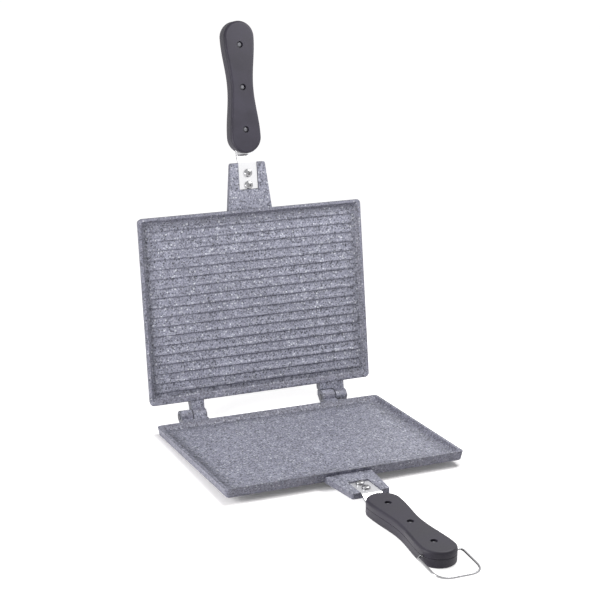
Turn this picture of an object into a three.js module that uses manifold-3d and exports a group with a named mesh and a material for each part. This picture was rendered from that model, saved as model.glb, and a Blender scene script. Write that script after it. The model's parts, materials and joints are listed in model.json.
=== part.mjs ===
// Stovetop sandwich toaster, standing open. Two cast aluminium pans, one pattern used twice, share a
// hinge at the back. Each has a bracket with a screwed-on steel tang and a riveted two-part handle,
// and a wire ring on the lower handle goes over the end of the upper one when the toaster is shut.
// Lengths are in millimetres. X runs along the hinge, +Y points to the hinge, the handles point to -Y,
// and +Z is up. The origin is the middle of the lower pan's underside.
import * as THREE from "three";
import { mergeVertices } from "three/addons/utils/BufferGeometryUtils.js";
import Module from "manifold-3d";

// Pan
const PAN_WIDTH = 230;
const PAN_LENGTH = 178;
const PAN_DEPTH = 9.2;
const PAN_CORNER_RADIUS = 4.4;
const WALL_DRAFT = 1.6; // how far the wall leans in from the rim down to its rounded foot
const FOOT_RADIUS = 2.2;
const RIM_WIDTH = 3;
const RIM_EDGE = 0.6; // bevel on the rim's outer edge
const TRAY_DEPTH = 4;
const TRAY_WALL_RUN = 3; // how far the sloping tray wall runs in
const TRAY_CORNER_RADIUS = 3;

// Ribs of the upper pan
const RIB_PITCH = 9;
const RIB_BASE = 4;
const RIB_TOP = 2;
const RIB_HEIGHT = 1.6;
const RIB_END_GAP = 1.5;
const RIB_SIDE_MARGIN = 4; // least floor between the outer ribs and the tray wall

// Hinge
const HINGE_OFFSET = 13.5; // from the rim's back edge to the pin
const HINGE_INSET = 40.5; // from the pan's side to where a lower and an upper knuckle meet
const OPEN_ANGLE = THREE.MathUtils.degToRad(97.65);
const RIM_GAP = 0.4; // between the rims of the shut pans
const KNUCKLE_RADIUS = 6;
const OUTER_KNUCKLE_WIDTH = 12;
const INNER_KNUCKLE_WIDTH = 13.5;
const KNUCKLE_GAP = 0.6;
const LUG_DROP = 0.5; // lugs and pads start this far below the rim
const PAD_CLEARANCE = 0.9; // between a wide pad and the other pan's knuckle
const STOP_GAP = 0.3; // between a stop and the pad that it holds when the pans are open
const STOP_REACH = 7.5;
const PIN_RADIUS = 2;
const PIN_CLEARANCE = 0.25;
const PIN_HEAD_RADIUS = 3;
const PIN_HEAD_HEIGHT = 1;

// Bracket, tang and screws
const BRACKET_LENGTH = 44;
const BRACKET_ROOT_WIDTH = 45;
const BRACKET_END_WIDTH = 35.5;
const BRACKET_DROP = 3.4; // its top face below the rim
const BRACKET_END_RADIUS = 2;
const TANG_START = 18.4; // from the pan's rim to the tang's inner end
const TANG_WIDTH = 19;
const TANG_THICKNESS = 2;
const TANG_DROP = 1.2; // its top face below the bracket's
const TANG_BEND_INSET = 0.8; // where the crank starts and ends, past the bracket and before the handle
const TANG_TAIL = 5; // past the last rivet
const SEAT_GAP = 0.2;
const SCREW_EDGE = 4;
const SCREW_PITCH = 11.5;
const SCREW_HEAD_RADIUS = 3.9;
const SCREW_HEAD_HEIGHT = 2.2;
const SCREW_RADIUS = 2;
const SCREW_TIP_INSET = 0.5; // its tip above the bracket's underside
const SCREW_SLOT_WIDTH = 1.1;
const SCREW_SLOT_LENGTH = 4.6;
const SCREW_SLOT_DEPTH = 1.2;
const HOLE_CLEARANCE = 0.2;

// Handles and rivets
const HANDLE_OFFSET = 8.8; // from the bracket's end to the handle
const HANDLE_LENGTH = 125;
const HANDLE_END_WIDTH = 30.6;
const HANDLE_WAIST_WIDTH = 22.6;
const HANDLE_THICKNESS = 14.5;
const HANDLE_BEVEL = 2.4;
const HANDLE_DROP = 1.7; // its near end below the rim
const HANDLE_SLOPE = THREE.MathUtils.degToRad(2); // the shut handles spread apart by twice this
const HANDLE_SPLIT_GAP = 0.3;
const RIVET_PLACE_SHARES = [0.18, 0.5, 0.82];
const RIVET_RADIUS = 2;
const RIVET_HEAD_RADIUS = 2.5;
const RIVET_HEAD_HEIGHT = 1.2;
const RIVET_WELL_RADIUS = 3;
const RIVET_WELL_DEPTH = 2.6;

// Wire ring
const WIRE_RADIUS = 1;
const RING_REACH = 37; // from its pivot to the middle of its cross wire
const RING_SIDE_GAP = 3.7; // between the handle's sides and the ring's legs
const RING_CORNER = 13.2;
const RING_FOOT_BEND = 4;
const RING_PIVOT_INSET = 13; // from the handle's far end
const RING_HOLE_DEPTH = 6;
const RING_HOLE_CLEARANCE = 0.25;
const RING_DROOP = THREE.MathUtils.degToRad(5); // how far it hangs below the handle's own line

// Facets
const CORNER_STEPS = 5;
const FOOT_STEPS = 3;
const ROUND_SIDES = 20;
const WIRE_SIDES = 12;
const WIRE_STEPS = 56;
const HANDLE_SIDE_STEPS = 10;
const HANDLE_CAP_STEPS = 12;
const BEVEL_STEPS = 2;
const MERGE_TOLERANCE = 1e-4;
const OVERRUN = 2; // how far cuts and buried roots run past a face

// Places worked out from the sizes, in a pan's own frame: rim at z = 0, tray up
const RIM_BACK = PAN_LENGTH / 2;
const RIM_FRONT = -PAN_LENGTH / 2;
const AXIS_Y = RIM_BACK + HINGE_OFFSET;
const AXIS_Z = RIM_GAP / 2;
const HINGE_X = PAN_WIDTH / 2 - HINGE_INSET;
const TRAY_INSET = RIM_WIDTH + TRAY_WALL_RUN;
const PAD_RADIUS = KNUCKLE_RADIUS + PAD_CLEARANCE;
const BRACKET_END_Y = RIM_FRONT - BRACKET_LENGTH;
const TANG_TOP = -BRACKET_DROP - TANG_DROP;
const TANG_START_Y = RIM_FRONT - TANG_START;
const HANDLE_NEAR_Y = BRACKET_END_Y - HANDLE_OFFSET;
const TANG_IN_HANDLE = -(HANDLE_THICKNESS - TANG_THICKNESS) / 2; // its top, below the inner face
const INNER_HALF_FACE = TANG_IN_HANDLE + SEAT_GAP;
const OUTER_HALF_FACE = INNER_HALF_FACE - HANDLE_SPLIT_GAP;
const RING_PIVOT_Y = -(HANDLE_LENGTH - RING_PIVOT_INSET);
const RING_PIVOT_Z = (INNER_HALF_FACE + OUTER_HALF_FACE) / 2;
const SCREW_PLACES = [TANG_START_Y - SCREW_EDGE, TANG_START_Y - SCREW_EDGE - SCREW_PITCH];

const coating = new THREE.MeshStandardMaterial({ color: 0x7d7c88, roughness: 0.6, metalness: 0.1 });
const steel = new THREE.MeshStandardMaterial({ color: 0xc9c8c6, roughness: 0.3, metalness: 0.9 });
const moulding = new THREE.MeshStandardMaterial({ color: 0x35333a, roughness: 0.5, metalness: 0 });

const wasm = await Module();
wasm.setup();

// A closed three.js geometry as a solid that can be cut and joined.
function solidFrom(geometry) {
  const bare = geometry.clone();
  bare.deleteAttribute("normal");
  bare.deleteAttribute("uv");
  const merged = mergeVertices(bare, MERGE_TOLERANCE);
  return new wasm.Manifold(
    new wasm.Mesh({
      numProp: 3,
      vertProperties: merged.attributes.position.array,
      triVerts: new Uint32Array(merged.index.array),
    }),
  );
}

// A solid as a named mesh.
function meshFrom(name, solid, material) {
  const { numProp, vertProperties, triVerts } = solid.getMesh();
  const positions = new Float32Array((vertProperties.length / numProp) * 3);
  for (let i = 0; i * 3 < positions.length; i += 1) {
    positions.set(vertProperties.subarray(i * numProp, i * numProp + 3), i * 3);
  }
  const geometry = new THREE.BufferGeometry();
  geometry.setAttribute("position", new THREE.BufferAttribute(positions, 3));
  geometry.setIndex(new THREE.BufferAttribute(triVerts, 1));
  geometry.computeVertexNormals();
  const mesh = new THREE.Mesh(geometry, material);
  mesh.name = name;
  return mesh;
}

function box(x0, x1, y0, y1, z0, z1) {
  const geometry = new THREE.BoxGeometry(x1 - x0, y1 - y0, z1 - z0);
  geometry.translate((x0 + x1) / 2, (y0 + y1) / 2, (z0 + z1) / 2);
  return solidFrom(geometry);
}

function cylinderAlongX(radius, x0, x1, y, z) {
  const geometry = new THREE.CylinderGeometry(radius, radius, x1 - x0, ROUND_SIDES);
  geometry.rotateZ(Math.PI / 2);
  geometry.translate((x0 + x1) / 2, y, z);
  return solidFrom(geometry);
}

function cylinderAlongZ(radius, z0, z1, x, y) {
  const geometry = new THREE.CylinderGeometry(radius, radius, z1 - z0, ROUND_SIDES);
  geometry.rotateX(Math.PI / 2);
  geometry.translate(x, y, (z0 + z1) / 2);
  return solidFrom(geometry);
}

// A side view, given as [y, z] points, extruded across from x0 to x1.
function acrossX(sideView, x0, x1) {
  const shape = new THREE.Shape(sideView.map(([y, z]) => new THREE.Vector2(y, z)));
  const geometry = new THREE.ExtrudeGeometry(shape, { depth: x1 - x0, bevelEnabled: false });
  const toWorld = new THREE.Matrix4().makeBasis(
    new THREE.Vector3(0, 1, 0),
    new THREE.Vector3(0, 0, 1),
    new THREE.Vector3(1, 0, 0),
  );
  geometry.applyMatrix4(toWorld);
  geometry.translate(x0, 0, 0);
  return solidFrom(geometry);
}

// A turned piece about Z from [radius, z] points that start and end on the axis, bottom first.
function turned(profile) {
  const geometry = new THREE.LatheGeometry(
    profile.map(([radius, z]) => new THREE.Vector2(radius, z)),
    ROUND_SIDES,
  );
  geometry.rotateX(Math.PI / 2);
  return solidFrom(geometry);
}

// Points of a rectangle with round corners, anticlockwise seen from above.
function roundedRectangle(halfX, halfY, radius) {
  const points = [];
  const corners = [
    [1, 1, 0],
    [-1, 1, 1],
    [-1, -1, 2],
    [1, -1, 3],
  ];
  for (const [sideX, sideY, quarter] of corners) {
    for (let step = 0; step <= CORNER_STEPS; step += 1) {
      const angle = (quarter + step / CORNER_STEPS) * (Math.PI / 2);
      points.push([
        sideX * (halfX - radius) + radius * Math.cos(angle),
        sideY * (halfY - radius) + radius * Math.sin(angle),
      ]);
    }
  }
  return points;
}

// A closed skin over rings of equally many points, with a flat cap on the first and the last ring.
function loft(rings) {
  const count = rings[0].points.length;
  const positions = [];
  const index = [];
  for (const { points, z } of rings) {
    for (const [x, y] of points) positions.push(x, y, z);
  }
  for (let ring = 0; ring + 1 < rings.length; ring += 1) {
    for (let i = 0; i < count; i += 1) {
      const a = ring * count + i;
      const b = ring * count + ((i + 1) % count);
      index.push(a, b, b + count, a, b + count, a + count);
    }
  }
  const firstCentre = positions.length / 3;
  positions.push(0, 0, rings[0].z, 0, 0, rings[rings.length - 1].z);
  const lastRing = (rings.length - 1) * count;
  for (let i = 0; i < count; i += 1) {
    const next = (i + 1) % count;
    index.push(firstCentre, next, i, firstCentre + 1, lastRing + i, lastRing + next);
  }
  const geometry = new THREE.BufferGeometry();
  geometry.setAttribute("position", new THREE.Float32BufferAttribute(positions, 3));
  geometry.setIndex(index);
  return solidFrom(geometry);
}

function panRing(inset, z, radius) {
  return { points: roundedRectangle(PAN_WIDTH / 2 - inset, PAN_LENGTH / 2 - inset, radius), z };
}

// The pan: flat underside, rounded foot, leaning wall, flat rim, and a shallow tray with sloping walls.
function panTray() {
  const rings = [];
  for (let step = 0; step <= FOOT_STEPS; step += 1) {
    const angle = (step / FOOT_STEPS) * (Math.PI / 2);
    const inset = WALL_DRAFT + FOOT_RADIUS * (1 - Math.sin(angle));
    const z = -PAN_DEPTH + FOOT_RADIUS * (1 - Math.cos(angle));
    rings.push(panRing(inset, z, PAN_CORNER_RADIUS - inset));
  }
  rings.push(panRing(0, -RIM_EDGE, PAN_CORNER_RADIUS));
  rings.push(panRing(RIM_EDGE, 0, PAN_CORNER_RADIUS - RIM_EDGE));
  rings.push(panRing(RIM_WIDTH, 0, TRAY_CORNER_RADIUS));
  rings.push(panRing(TRAY_INSET, -TRAY_DEPTH, TRAY_CORNER_RADIUS));
  return loft(rings);
}

// Bars that stand on the tray floor, side by side from the hinge to the handle.
function ribs(pan) {
  const floorLength = PAN_LENGTH - 2 * TRAY_INSET;
  const count = Math.floor((floorLength - 2 * RIB_SIDE_MARGIN - RIB_BASE) / RIB_PITCH) + 1;
  const halfLength = PAN_WIDTH / 2 - TRAY_INSET - RIB_END_GAP;
  const slope = (RIB_BASE - RIB_TOP) / 2;
  let ribbed = pan;
  for (let i = 0; i < count; i += 1) {
    const y = (i - (count - 1) / 2) * RIB_PITCH;
    const rib = acrossX(
      [
        [y - RIB_BASE / 2, -TRAY_DEPTH - RIB_HEIGHT / 2],
        [y + RIB_BASE / 2, -TRAY_DEPTH - RIB_HEIGHT / 2],
        [y + RIB_BASE / 2, -TRAY_DEPTH],
        [y + RIB_TOP / 2, -TRAY_DEPTH + RIB_HEIGHT - slope / 2],
        [y + RIB_TOP / 4, -TRAY_DEPTH + RIB_HEIGHT],
        [y - RIB_TOP / 4, -TRAY_DEPTH + RIB_HEIGHT],
        [y - RIB_TOP / 2, -TRAY_DEPTH + RIB_HEIGHT - slope / 2],
        [y - RIB_BASE / 2, -TRAY_DEPTH],
      ],
      -halfLength,
      halfLength,
    );
    ribbed = ribbed.add(rib);
  }
  return ribbed;
}

// An arm from the pan's back wall with a knuckle on its end, from x0 to x1.
function knuckleArm(x0, x1) {
  const arm = acrossX(
    [
      [RIM_BACK - RIM_WIDTH, -LUG_DROP],
      [AXIS_Y, -LUG_DROP],
      [AXIS_Y, AXIS_Z - KNUCKLE_RADIUS],
      [RIM_BACK + FOOT_RADIUS, -PAN_DEPTH],
      [RIM_BACK - TRAY_INSET, -PAN_DEPTH],
    ],
    x0,
    x1,
  );
  return arm.add(cylinderAlongX(KNUCKLE_RADIUS, x0, x1, AXIS_Y, AXIS_Z));
}

// The block behind a knuckle that the other pan's wide pad comes down on when the toaster is open.
// pad is the direction from the pin to the other pan when it is open, and out is that pan's outside.
function openStop(x0, x1) {
  const pad = [-Math.cos(OPEN_ANGLE), Math.sin(OPEN_ANGLE)];
  const out = [Math.sin(OPEN_ANGLE), Math.cos(OPEN_ANGLE)];
  const face = PAD_RADIUS - STOP_GAP;
  const tip = [face * pad[0] + STOP_REACH * out[0], face * pad[1] + STOP_REACH * out[1]];
  const under = KNUCKLE_RADIUS * Math.SQRT1_2;
  const sideView = [[0, 0], [face * pad[0], face * pad[1]], tip, [tip[0], 0], [under, -under]];
  return acrossX(
    sideView.map(([y, z]) => [AXIS_Y + y, AXIS_Z + z]),
    x0,
    x1,
  );
}

// The pan's half of the hinge: at -X an outer knuckle on a wide pad, at +X an inner one with the stop.
function addHingeHalf(pan) {
  const near = HINGE_X + KNUCKLE_GAP / 2;
  const far = HINGE_X - KNUCKLE_GAP / 2;
  const outer = [-near - OUTER_KNUCKLE_WIDTH, -near];
  const inner = [far - INNER_KNUCKLE_WIDTH, far];
  const pad = box(
    outer[0],
    -far + INNER_KNUCKLE_WIDTH,
    RIM_BACK - RIM_WIDTH,
    AXIS_Y - PAD_RADIUS,
    -PAN_DEPTH,
    -LUG_DROP,
  );
  const bores = [outer, inner].map(([x0, x1]) =>
    cylinderAlongX(PIN_RADIUS + PIN_CLEARANCE, x0 - OVERRUN, x1 + OVERRUN, AXIS_Y, AXIS_Z),
  );
  return pan
    .add(pad)
    .add(knuckleArm(...outer))
    .add(knuckleArm(...inner))
    .add(openStop(...inner))
    .subtract(bores[0])
    .subtract(bores[1]);
}

// The tapered bracket on the front wall, with a channel for the tang and two screw holes.
function addBracket(pan) {
  const rootHalf = BRACKET_ROOT_WIDTH / 2;
  const endHalf = BRACKET_END_WIDTH / 2;
  const lean = (rootHalf - endHalf) / BRACKET_LENGTH;
  const outline = new THREE.Shape();
  outline.moveTo(-rootHalf, RIM_FRONT + TRAY_INSET);
  outline.lineTo(-rootHalf, RIM_FRONT);
  outline.lineTo(-endHalf - lean * BRACKET_END_RADIUS, BRACKET_END_Y + BRACKET_END_RADIUS);
  outline.quadraticCurveTo(-endHalf, BRACKET_END_Y, -endHalf + BRACKET_END_RADIUS, BRACKET_END_Y);
  outline.lineTo(endHalf - BRACKET_END_RADIUS, BRACKET_END_Y);
  outline.quadraticCurveTo(
    endHalf,
    BRACKET_END_Y,
    endHalf + lean * BRACKET_END_RADIUS,
    BRACKET_END_Y + BRACKET_END_RADIUS,
  );
  outline.lineTo(rootHalf, RIM_FRONT);
  outline.lineTo(rootHalf, RIM_FRONT + TRAY_INSET);
  const geometry = new THREE.ExtrudeGeometry(outline, {
    depth: PAN_DEPTH - BRACKET_DROP,
    bevelEnabled: false,
    curveSegments: CORNER_STEPS,
  });
  geometry.translate(0, 0, -PAN_DEPTH);
  const root = box(
    -rootHalf - OVERRUN,
    rootHalf + OVERRUN,
    RIM_FRONT + RIM_WIDTH,
    RIM_FRONT + TRAY_INSET + OVERRUN,
    -TRAY_DEPTH,
    0,
  );
  const channelHalf = TANG_WIDTH / 2 + SEAT_GAP;
  const channel = box(
    -channelHalf,
    channelHalf,
    BRACKET_END_Y - OVERRUN,
    TANG_START_Y + SEAT_GAP,
    TANG_TOP - TANG_THICKNESS - SEAT_GAP,
    -BRACKET_DROP + OVERRUN,
  );
  let bracket = solidFrom(geometry).subtract(root).subtract(channel);
  for (const y of SCREW_PLACES) {
    const radius = SCREW_RADIUS + HOLE_CLEARANCE;
    bracket = bracket.subtract(cylinderAlongZ(radius, -PAN_DEPTH - OVERRUN, 0, 0, y));
  }
  return pan.add(bracket);
}

// A point of the handle, given by its distance out from the near end and its height, in the pan's frame.
function onHandle(out, height) {
  return [
    HANDLE_NEAR_Y - out * Math.cos(HANDLE_SLOPE) - height * Math.sin(HANDLE_SLOPE),
    -HANDLE_DROP - out * Math.sin(HANDLE_SLOPE) + height * Math.cos(HANDLE_SLOPE),
  ];
}

// The steel strip: flat on the bracket, cranked down past its end, then along the middle of the handle.
function tang() {
  const farOut = RIVET_PLACE_SHARES.at(-1) * HANDLE_LENGTH + TANG_TAIL;
  const crankTop = [BRACKET_END_Y - TANG_BEND_INSET, TANG_TOP];
  const crankBottom = onHandle(-TANG_BEND_INSET, TANG_IN_HANDLE);
  const top = [[TANG_START_Y, TANG_TOP], crankTop, crankBottom, onHandle(farOut, TANG_IN_HANDLE)];
  const fall = Math.atan2(crankTop[1] - crankBottom[1], crankTop[0] - crankBottom[0]);
  const firstBend = TANG_THICKNESS * Math.tan(fall / 2);
  const secondBend = TANG_THICKNESS * Math.tan((fall - HANDLE_SLOPE) / 2);
  const underside = [
    [TANG_START_Y, TANG_TOP - TANG_THICKNESS],
    [crankTop[0] + firstBend, TANG_TOP - TANG_THICKNESS],
    onHandle(-TANG_BEND_INSET - secondBend, TANG_IN_HANDLE - TANG_THICKNESS),
    onHandle(farOut, TANG_IN_HANDLE - TANG_THICKNESS),
  ];
  let strip = acrossX([...top, ...underside.reverse()], -TANG_WIDTH / 2, TANG_WIDTH / 2);
  for (const y of SCREW_PLACES) {
    const radius = SCREW_RADIUS + HOLE_CLEARANCE;
    strip = strip.subtract(cylinderAlongZ(radius, TANG_TOP - PAN_DEPTH, 0, 0, y));
  }
  for (const share of RIVET_PLACE_SHARES) {
    const hole = new THREE.CylinderGeometry(
      RIVET_RADIUS + HOLE_CLEARANCE,
      RIVET_RADIUS + HOLE_CLEARANCE,
      HANDLE_THICKNESS,
      ROUND_SIDES,
    );
    hole.rotateX(Math.PI / 2 + HANDLE_SLOPE);
    hole.translate(0, ...onHandle(share * HANDLE_LENGTH, -HANDLE_THICKNESS / 2));
    strip = strip.subtract(solidFrom(hole));
  }
  return strip;
}

// A cross-head screw, its head's underside at z = 0.
function screw() {
  const length = TANG_TOP + SEAT_GAP + PAN_DEPTH - SCREW_TIP_INSET;
  const domed = SCREW_HEAD_HEIGHT / 2;
  const body = turned([
    [0, -length],
    [SCREW_RADIUS, -length],
    [SCREW_RADIUS, 0],
    [SCREW_HEAD_RADIUS, 0],
    [SCREW_HEAD_RADIUS, domed],
    [SCREW_HEAD_RADIUS * Math.cos(Math.PI / 6), domed + domed / 2],
    [SCREW_HEAD_RADIUS / 2, SCREW_HEAD_HEIGHT],
    [0, SCREW_HEAD_HEIGHT],
  ]);
  const long = SCREW_SLOT_LENGTH / 2;
  const wide = SCREW_SLOT_WIDTH / 2;
  const floor = SCREW_HEAD_HEIGHT - SCREW_SLOT_DEPTH;
  const top = SCREW_HEAD_HEIGHT + OVERRUN;
  return body
    .subtract(box(-long, long, -wide, wide, floor, top))
    .subtract(box(-wide, wide, -long, long, floor, top));
}

// The handle's outline seen from above: round ends and a waist, from y = 0 out to -HANDLE_LENGTH.
function handleOutline() {
  const end = HANDLE_END_WIDTH / 2;
  const waist = HANDLE_WAIST_WIDTH / 2;
  const capNear = -end;
  const capFar = -HANDLE_LENGTH + end;
  const points = [];
  const cap = (centre, start) => {
    for (let step = 0; step < HANDLE_CAP_STEPS; step += 1) {
      const angle = start + (step / HANDLE_CAP_STEPS) * Math.PI;
      points.push([end * Math.cos(angle), centre + end * Math.sin(angle)]);
    }
  };
  const side = (sign, from, to) => {
    for (let step = 0; step < HANDLE_SIDE_STEPS; step += 1) {
      const share = step / HANDLE_SIDE_STEPS;
      const half = waist + ((end - waist) * (1 + Math.cos(share * 2 * Math.PI))) / 2;
      points.push([sign * half, from + (to - from) * share]);
    }
  };
  cap(capNear, 0);
  side(-1, capNear, capFar);
  cap(capFar, Math.PI);
  side(1, capFar, capNear);
  return points;
}

// Both halves of a handle as one bored block, inner face at z = 0.
function handleBlock() {
  const outline = new THREE.Shape(handleOutline().map(([x, y]) => new THREE.Vector2(x, y)));
  const geometry = new THREE.ExtrudeGeometry(outline, {
    depth: HANDLE_THICKNESS - 2 * HANDLE_BEVEL,
    bevelEnabled: true,
    bevelThickness: HANDLE_BEVEL,
    bevelSize: HANDLE_BEVEL,
    bevelOffset: -HANDLE_BEVEL,
    bevelSegments: BEVEL_STEPS,
  });
  geometry.translate(0, 0, HANDLE_BEVEL - HANDLE_THICKNESS);
  let block = solidFrom(geometry);
  for (const share of RIVET_PLACE_SHARES) {
    const y = -share * HANDLE_LENGTH;
    const bore = cylinderAlongZ(
      RIVET_RADIUS + HOLE_CLEARANCE,
      -HANDLE_THICKNESS - OVERRUN,
      OVERRUN,
      0,
      y,
    );
    const wellAbove = cylinderAlongZ(RIVET_WELL_RADIUS, -RIVET_WELL_DEPTH, OVERRUN, 0, y);
    const wellBelow = cylinderAlongZ(
      RIVET_WELL_RADIUS,
      -HANDLE_THICKNESS - OVERRUN,
      -HANDLE_THICKNESS + RIVET_WELL_DEPTH,
      0,
      y,
    );
    block = block.subtract(bore).subtract(wellAbove).subtract(wellBelow);
  }
  return block;
}

// The wire ring's two holes, one in each side of the handle, on the line where its halves meet.
function boreRingHoles(block) {
  const side = HANDLE_END_WIDTH / 2;
  const radius = WIRE_RADIUS + RING_HOLE_CLEARANCE;
  return block
    .subtract(cylinderAlongX(radius, -side - OVERRUN, RING_HOLE_DEPTH - side, RING_PIVOT_Y, RING_PIVOT_Z))
    .subtract(cylinderAlongX(radius, side - RING_HOLE_DEPTH, side + OVERRUN, RING_PIVOT_Y, RING_PIVOT_Z));
}

// The halves of a handle block: the inner one is plain, the outer one has a pocket for the tang.
function handleHalves(block) {
  const wide = HANDLE_END_WIDTH;
  const inner = block.intersect(
    box(-wide, wide, -HANDLE_LENGTH - OVERRUN, OVERRUN, INNER_HALF_FACE, OVERRUN),
  );
  const lower = box(
    -wide,
    wide,
    -HANDLE_LENGTH - OVERRUN,
    OVERRUN,
    -HANDLE_THICKNESS - OVERRUN,
    OUTER_HALF_FACE,
  );
  const pocketHalf = TANG_WIDTH / 2 + SEAT_GAP;
  const pocketEnd = RIVET_PLACE_SHARES.at(-1) * HANDLE_LENGTH + TANG_TAIL + SEAT_GAP;
  const pocket = box(
    -pocketHalf,
    pocketHalf,
    -pocketEnd,
    OVERRUN,
    TANG_IN_HANDLE - TANG_THICKNESS - SEAT_GAP,
    OUTER_HALF_FACE + OVERRUN,
  );
  return { inner, outer: block.intersect(lower).subtract(pocket) };
}

// A rivet through a handle, headed in the wells at both faces, its middle at z = 0.
function rivet() {
  const seat = HANDLE_THICKNESS / 2 - RIVET_WELL_DEPTH + SEAT_GAP / 2;
  const shoulder = seat + RIVET_HEAD_HEIGHT / 2;
  const crown = seat + RIVET_HEAD_HEIGHT;
  const crownRadius = RIVET_HEAD_RADIUS / 2;
  return turned([
    [0, -crown],
    [crownRadius, -crown],
    [RIVET_HEAD_RADIUS, -shoulder],
    [RIVET_HEAD_RADIUS, -seat],
    [RIVET_RADIUS, -seat],
    [RIVET_RADIUS, seat],
    [RIVET_HEAD_RADIUS, seat],
    [RIVET_HEAD_RADIUS, shoulder],
    [crownRadius, crown],
    [0, crown],
  ]);
}

// A hinge pin along Z with a head at each end. It starts at z = 0 between the knuckles, and runs
// through the inner knuckle below and the outer knuckle above.
function hingePin() {
  const below = -(INNER_KNUCKLE_WIDTH + KNUCKLE_GAP / 2 + SEAT_GAP);
  const above = OUTER_KNUCKLE_WIDTH + KNUCKLE_GAP / 2 + SEAT_GAP;
  const endRadius = (PIN_RADIUS + PIN_HEAD_RADIUS) / 2;
  return turned([
    [0, below - PIN_HEAD_HEIGHT],
    [endRadius, below - PIN_HEAD_HEIGHT],
    [PIN_HEAD_RADIUS, below - PIN_HEAD_HEIGHT / 2],
    [PIN_HEAD_RADIUS, below],
    [PIN_RADIUS, below],
    [PIN_RADIUS, above],
    [PIN_HEAD_RADIUS, above],
    [PIN_HEAD_RADIUS, above + PIN_HEAD_HEIGHT / 2],
    [endRadius, above + PIN_HEAD_HEIGHT],
    [0, above + PIN_HEAD_HEIGHT],
  ]);
}

// The wire ring, flat in its own XY plane, its pivot line on the X axis and its cross wire at -Y.
function wireRing() {
  const leg = HANDLE_END_WIDTH / 2 + RING_SIDE_GAP + WIRE_RADIUS;
  const tip = HANDLE_END_WIDTH / 2 - RING_HOLE_DEPTH + WIRE_RADIUS;
  const at = (x, y) => new THREE.Vector3(x, y, 0);
  const path = new THREE.CurvePath();
  const half = (sign) => [
    new THREE.LineCurve3(at(sign * tip, 0), at(sign * (leg - RING_FOOT_BEND), 0)),
    new THREE.QuadraticBezierCurve3(
      at(sign * (leg - RING_FOOT_BEND), 0),
      at(sign * leg, 0),
      at(sign * leg, -RING_FOOT_BEND),
    ),
    new THREE.LineCurve3(at(sign * leg, -RING_FOOT_BEND), at(sign * leg, RING_CORNER - RING_REACH)),
    new THREE.QuadraticBezierCurve3(
      at(sign * leg, RING_CORNER - RING_REACH),
      at(sign * leg, -RING_REACH),
      at(sign * (leg - RING_CORNER), -RING_REACH),
    ),
    new THREE.LineCurve3(at(sign * (leg - RING_CORNER), -RING_REACH), at(0, -RING_REACH)),
  ];
  for (const curve of half(-1)) path.add(curve);
  for (const curve of half(1).reverse()) {
    const ends = curve.isLineCurve3 ? [curve.v2, curve.v1] : [curve.v2, curve.v1, curve.v0];
    path.add(
      curve.isLineCurve3
        ? new THREE.LineCurve3(...ends)
        : new THREE.QuadraticBezierCurve3(...ends),
    );
  }
  const section = new THREE.Shape();
  section.absarc(0, 0, WIRE_RADIUS, 0, 2 * Math.PI, false);
  const geometry = new THREE.ExtrudeGeometry(section, {
    steps: WIRE_STEPS,
    extrudePath: path,
    curveSegments: WIRE_SIDES / 2,
  });
  return solidFrom(geometry);
}

// Everything that is fixed to one pan, in that pan's frame.
function panAssembly(name, panSolid, bored) {
  const group = new THREE.Group();
  group.add(meshFrom(`${name}_pan`, addBracket(addHingeHalf(panSolid)), coating));
  group.add(meshFrom(`${name}_tang`, tang(), steel));
  SCREW_PLACES.forEach((y, i) => {
    const mesh = meshFrom(`${name}_tang_screw_${i + 1}`, screw(), steel);
    mesh.position.set(0, y, TANG_TOP + SEAT_GAP);
    group.add(mesh);
  });
  const handle = new THREE.Group();
  handle.position.set(0, HANDLE_NEAR_Y, -HANDLE_DROP);
  handle.rotation.x = HANDLE_SLOPE;
  const { inner, outer } = handleHalves(bored ? boreRingHoles(handleBlock()) : handleBlock());
  handle.add(meshFrom(`${name}_handle_inner_half`, inner, moulding));
  handle.add(meshFrom(`${name}_handle_outer_half`, outer, moulding));
  RIVET_PLACE_SHARES.forEach((share, i) => {
    const mesh = meshFrom(`${name}_handle_rivet_${i + 1}`, rivet(), steel);
    mesh.position.set(0, -share * HANDLE_LENGTH, -HANDLE_THICKNESS / 2);
    handle.add(mesh);
  });
  group.add(handle);
  return { group, handle };
}

function pin(name, x) {
  const mesh = meshFrom(name, hingePin(), steel);
  mesh.rotation.y = Math.sign(x) * (Math.PI / 2);
  mesh.position.set(x, AXIS_Y, AXIS_Z);
  return mesh;
}

const lower = panAssembly("lower", panTray(), true);
lower.group.position.z = PAN_DEPTH;
lower.group.add(pin("hinge_pin_left", -HINGE_X));
lower.group.add(pin("hinge_pin_right", HINGE_X));

const ring = meshFrom("latch_ring", wireRing(), steel);
ring.position.set(0, RING_PIVOT_Y, RING_PIVOT_Z);
ring.rotation.x = RING_DROOP;
lower.handle.add(ring);

// The upper pan is the lower one turned over about Y, then swung open about the hinge pins.
const upper = panAssembly("upper", ribs(panTray()), false);
upper.group.rotation.y = Math.PI;
upper.group.position.set(0, -AXIS_Y, AXIS_Z);
const lid = new THREE.Group();
lid.position.set(0, AXIS_Y, PAN_DEPTH + AXIS_Z);
lid.rotation.x = -OPEN_ANGLE;
lid.add(upper.group);

const toaster = new THREE.Group();
toaster.add(lower.group, lid);

export default toaster;
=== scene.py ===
import json
import math
from types import SimpleNamespace

import bmesh
import bpy
from bpy.props import FloatProperty, FloatVectorProperty, PointerProperty
from mathutils import Matrix, Vector


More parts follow.
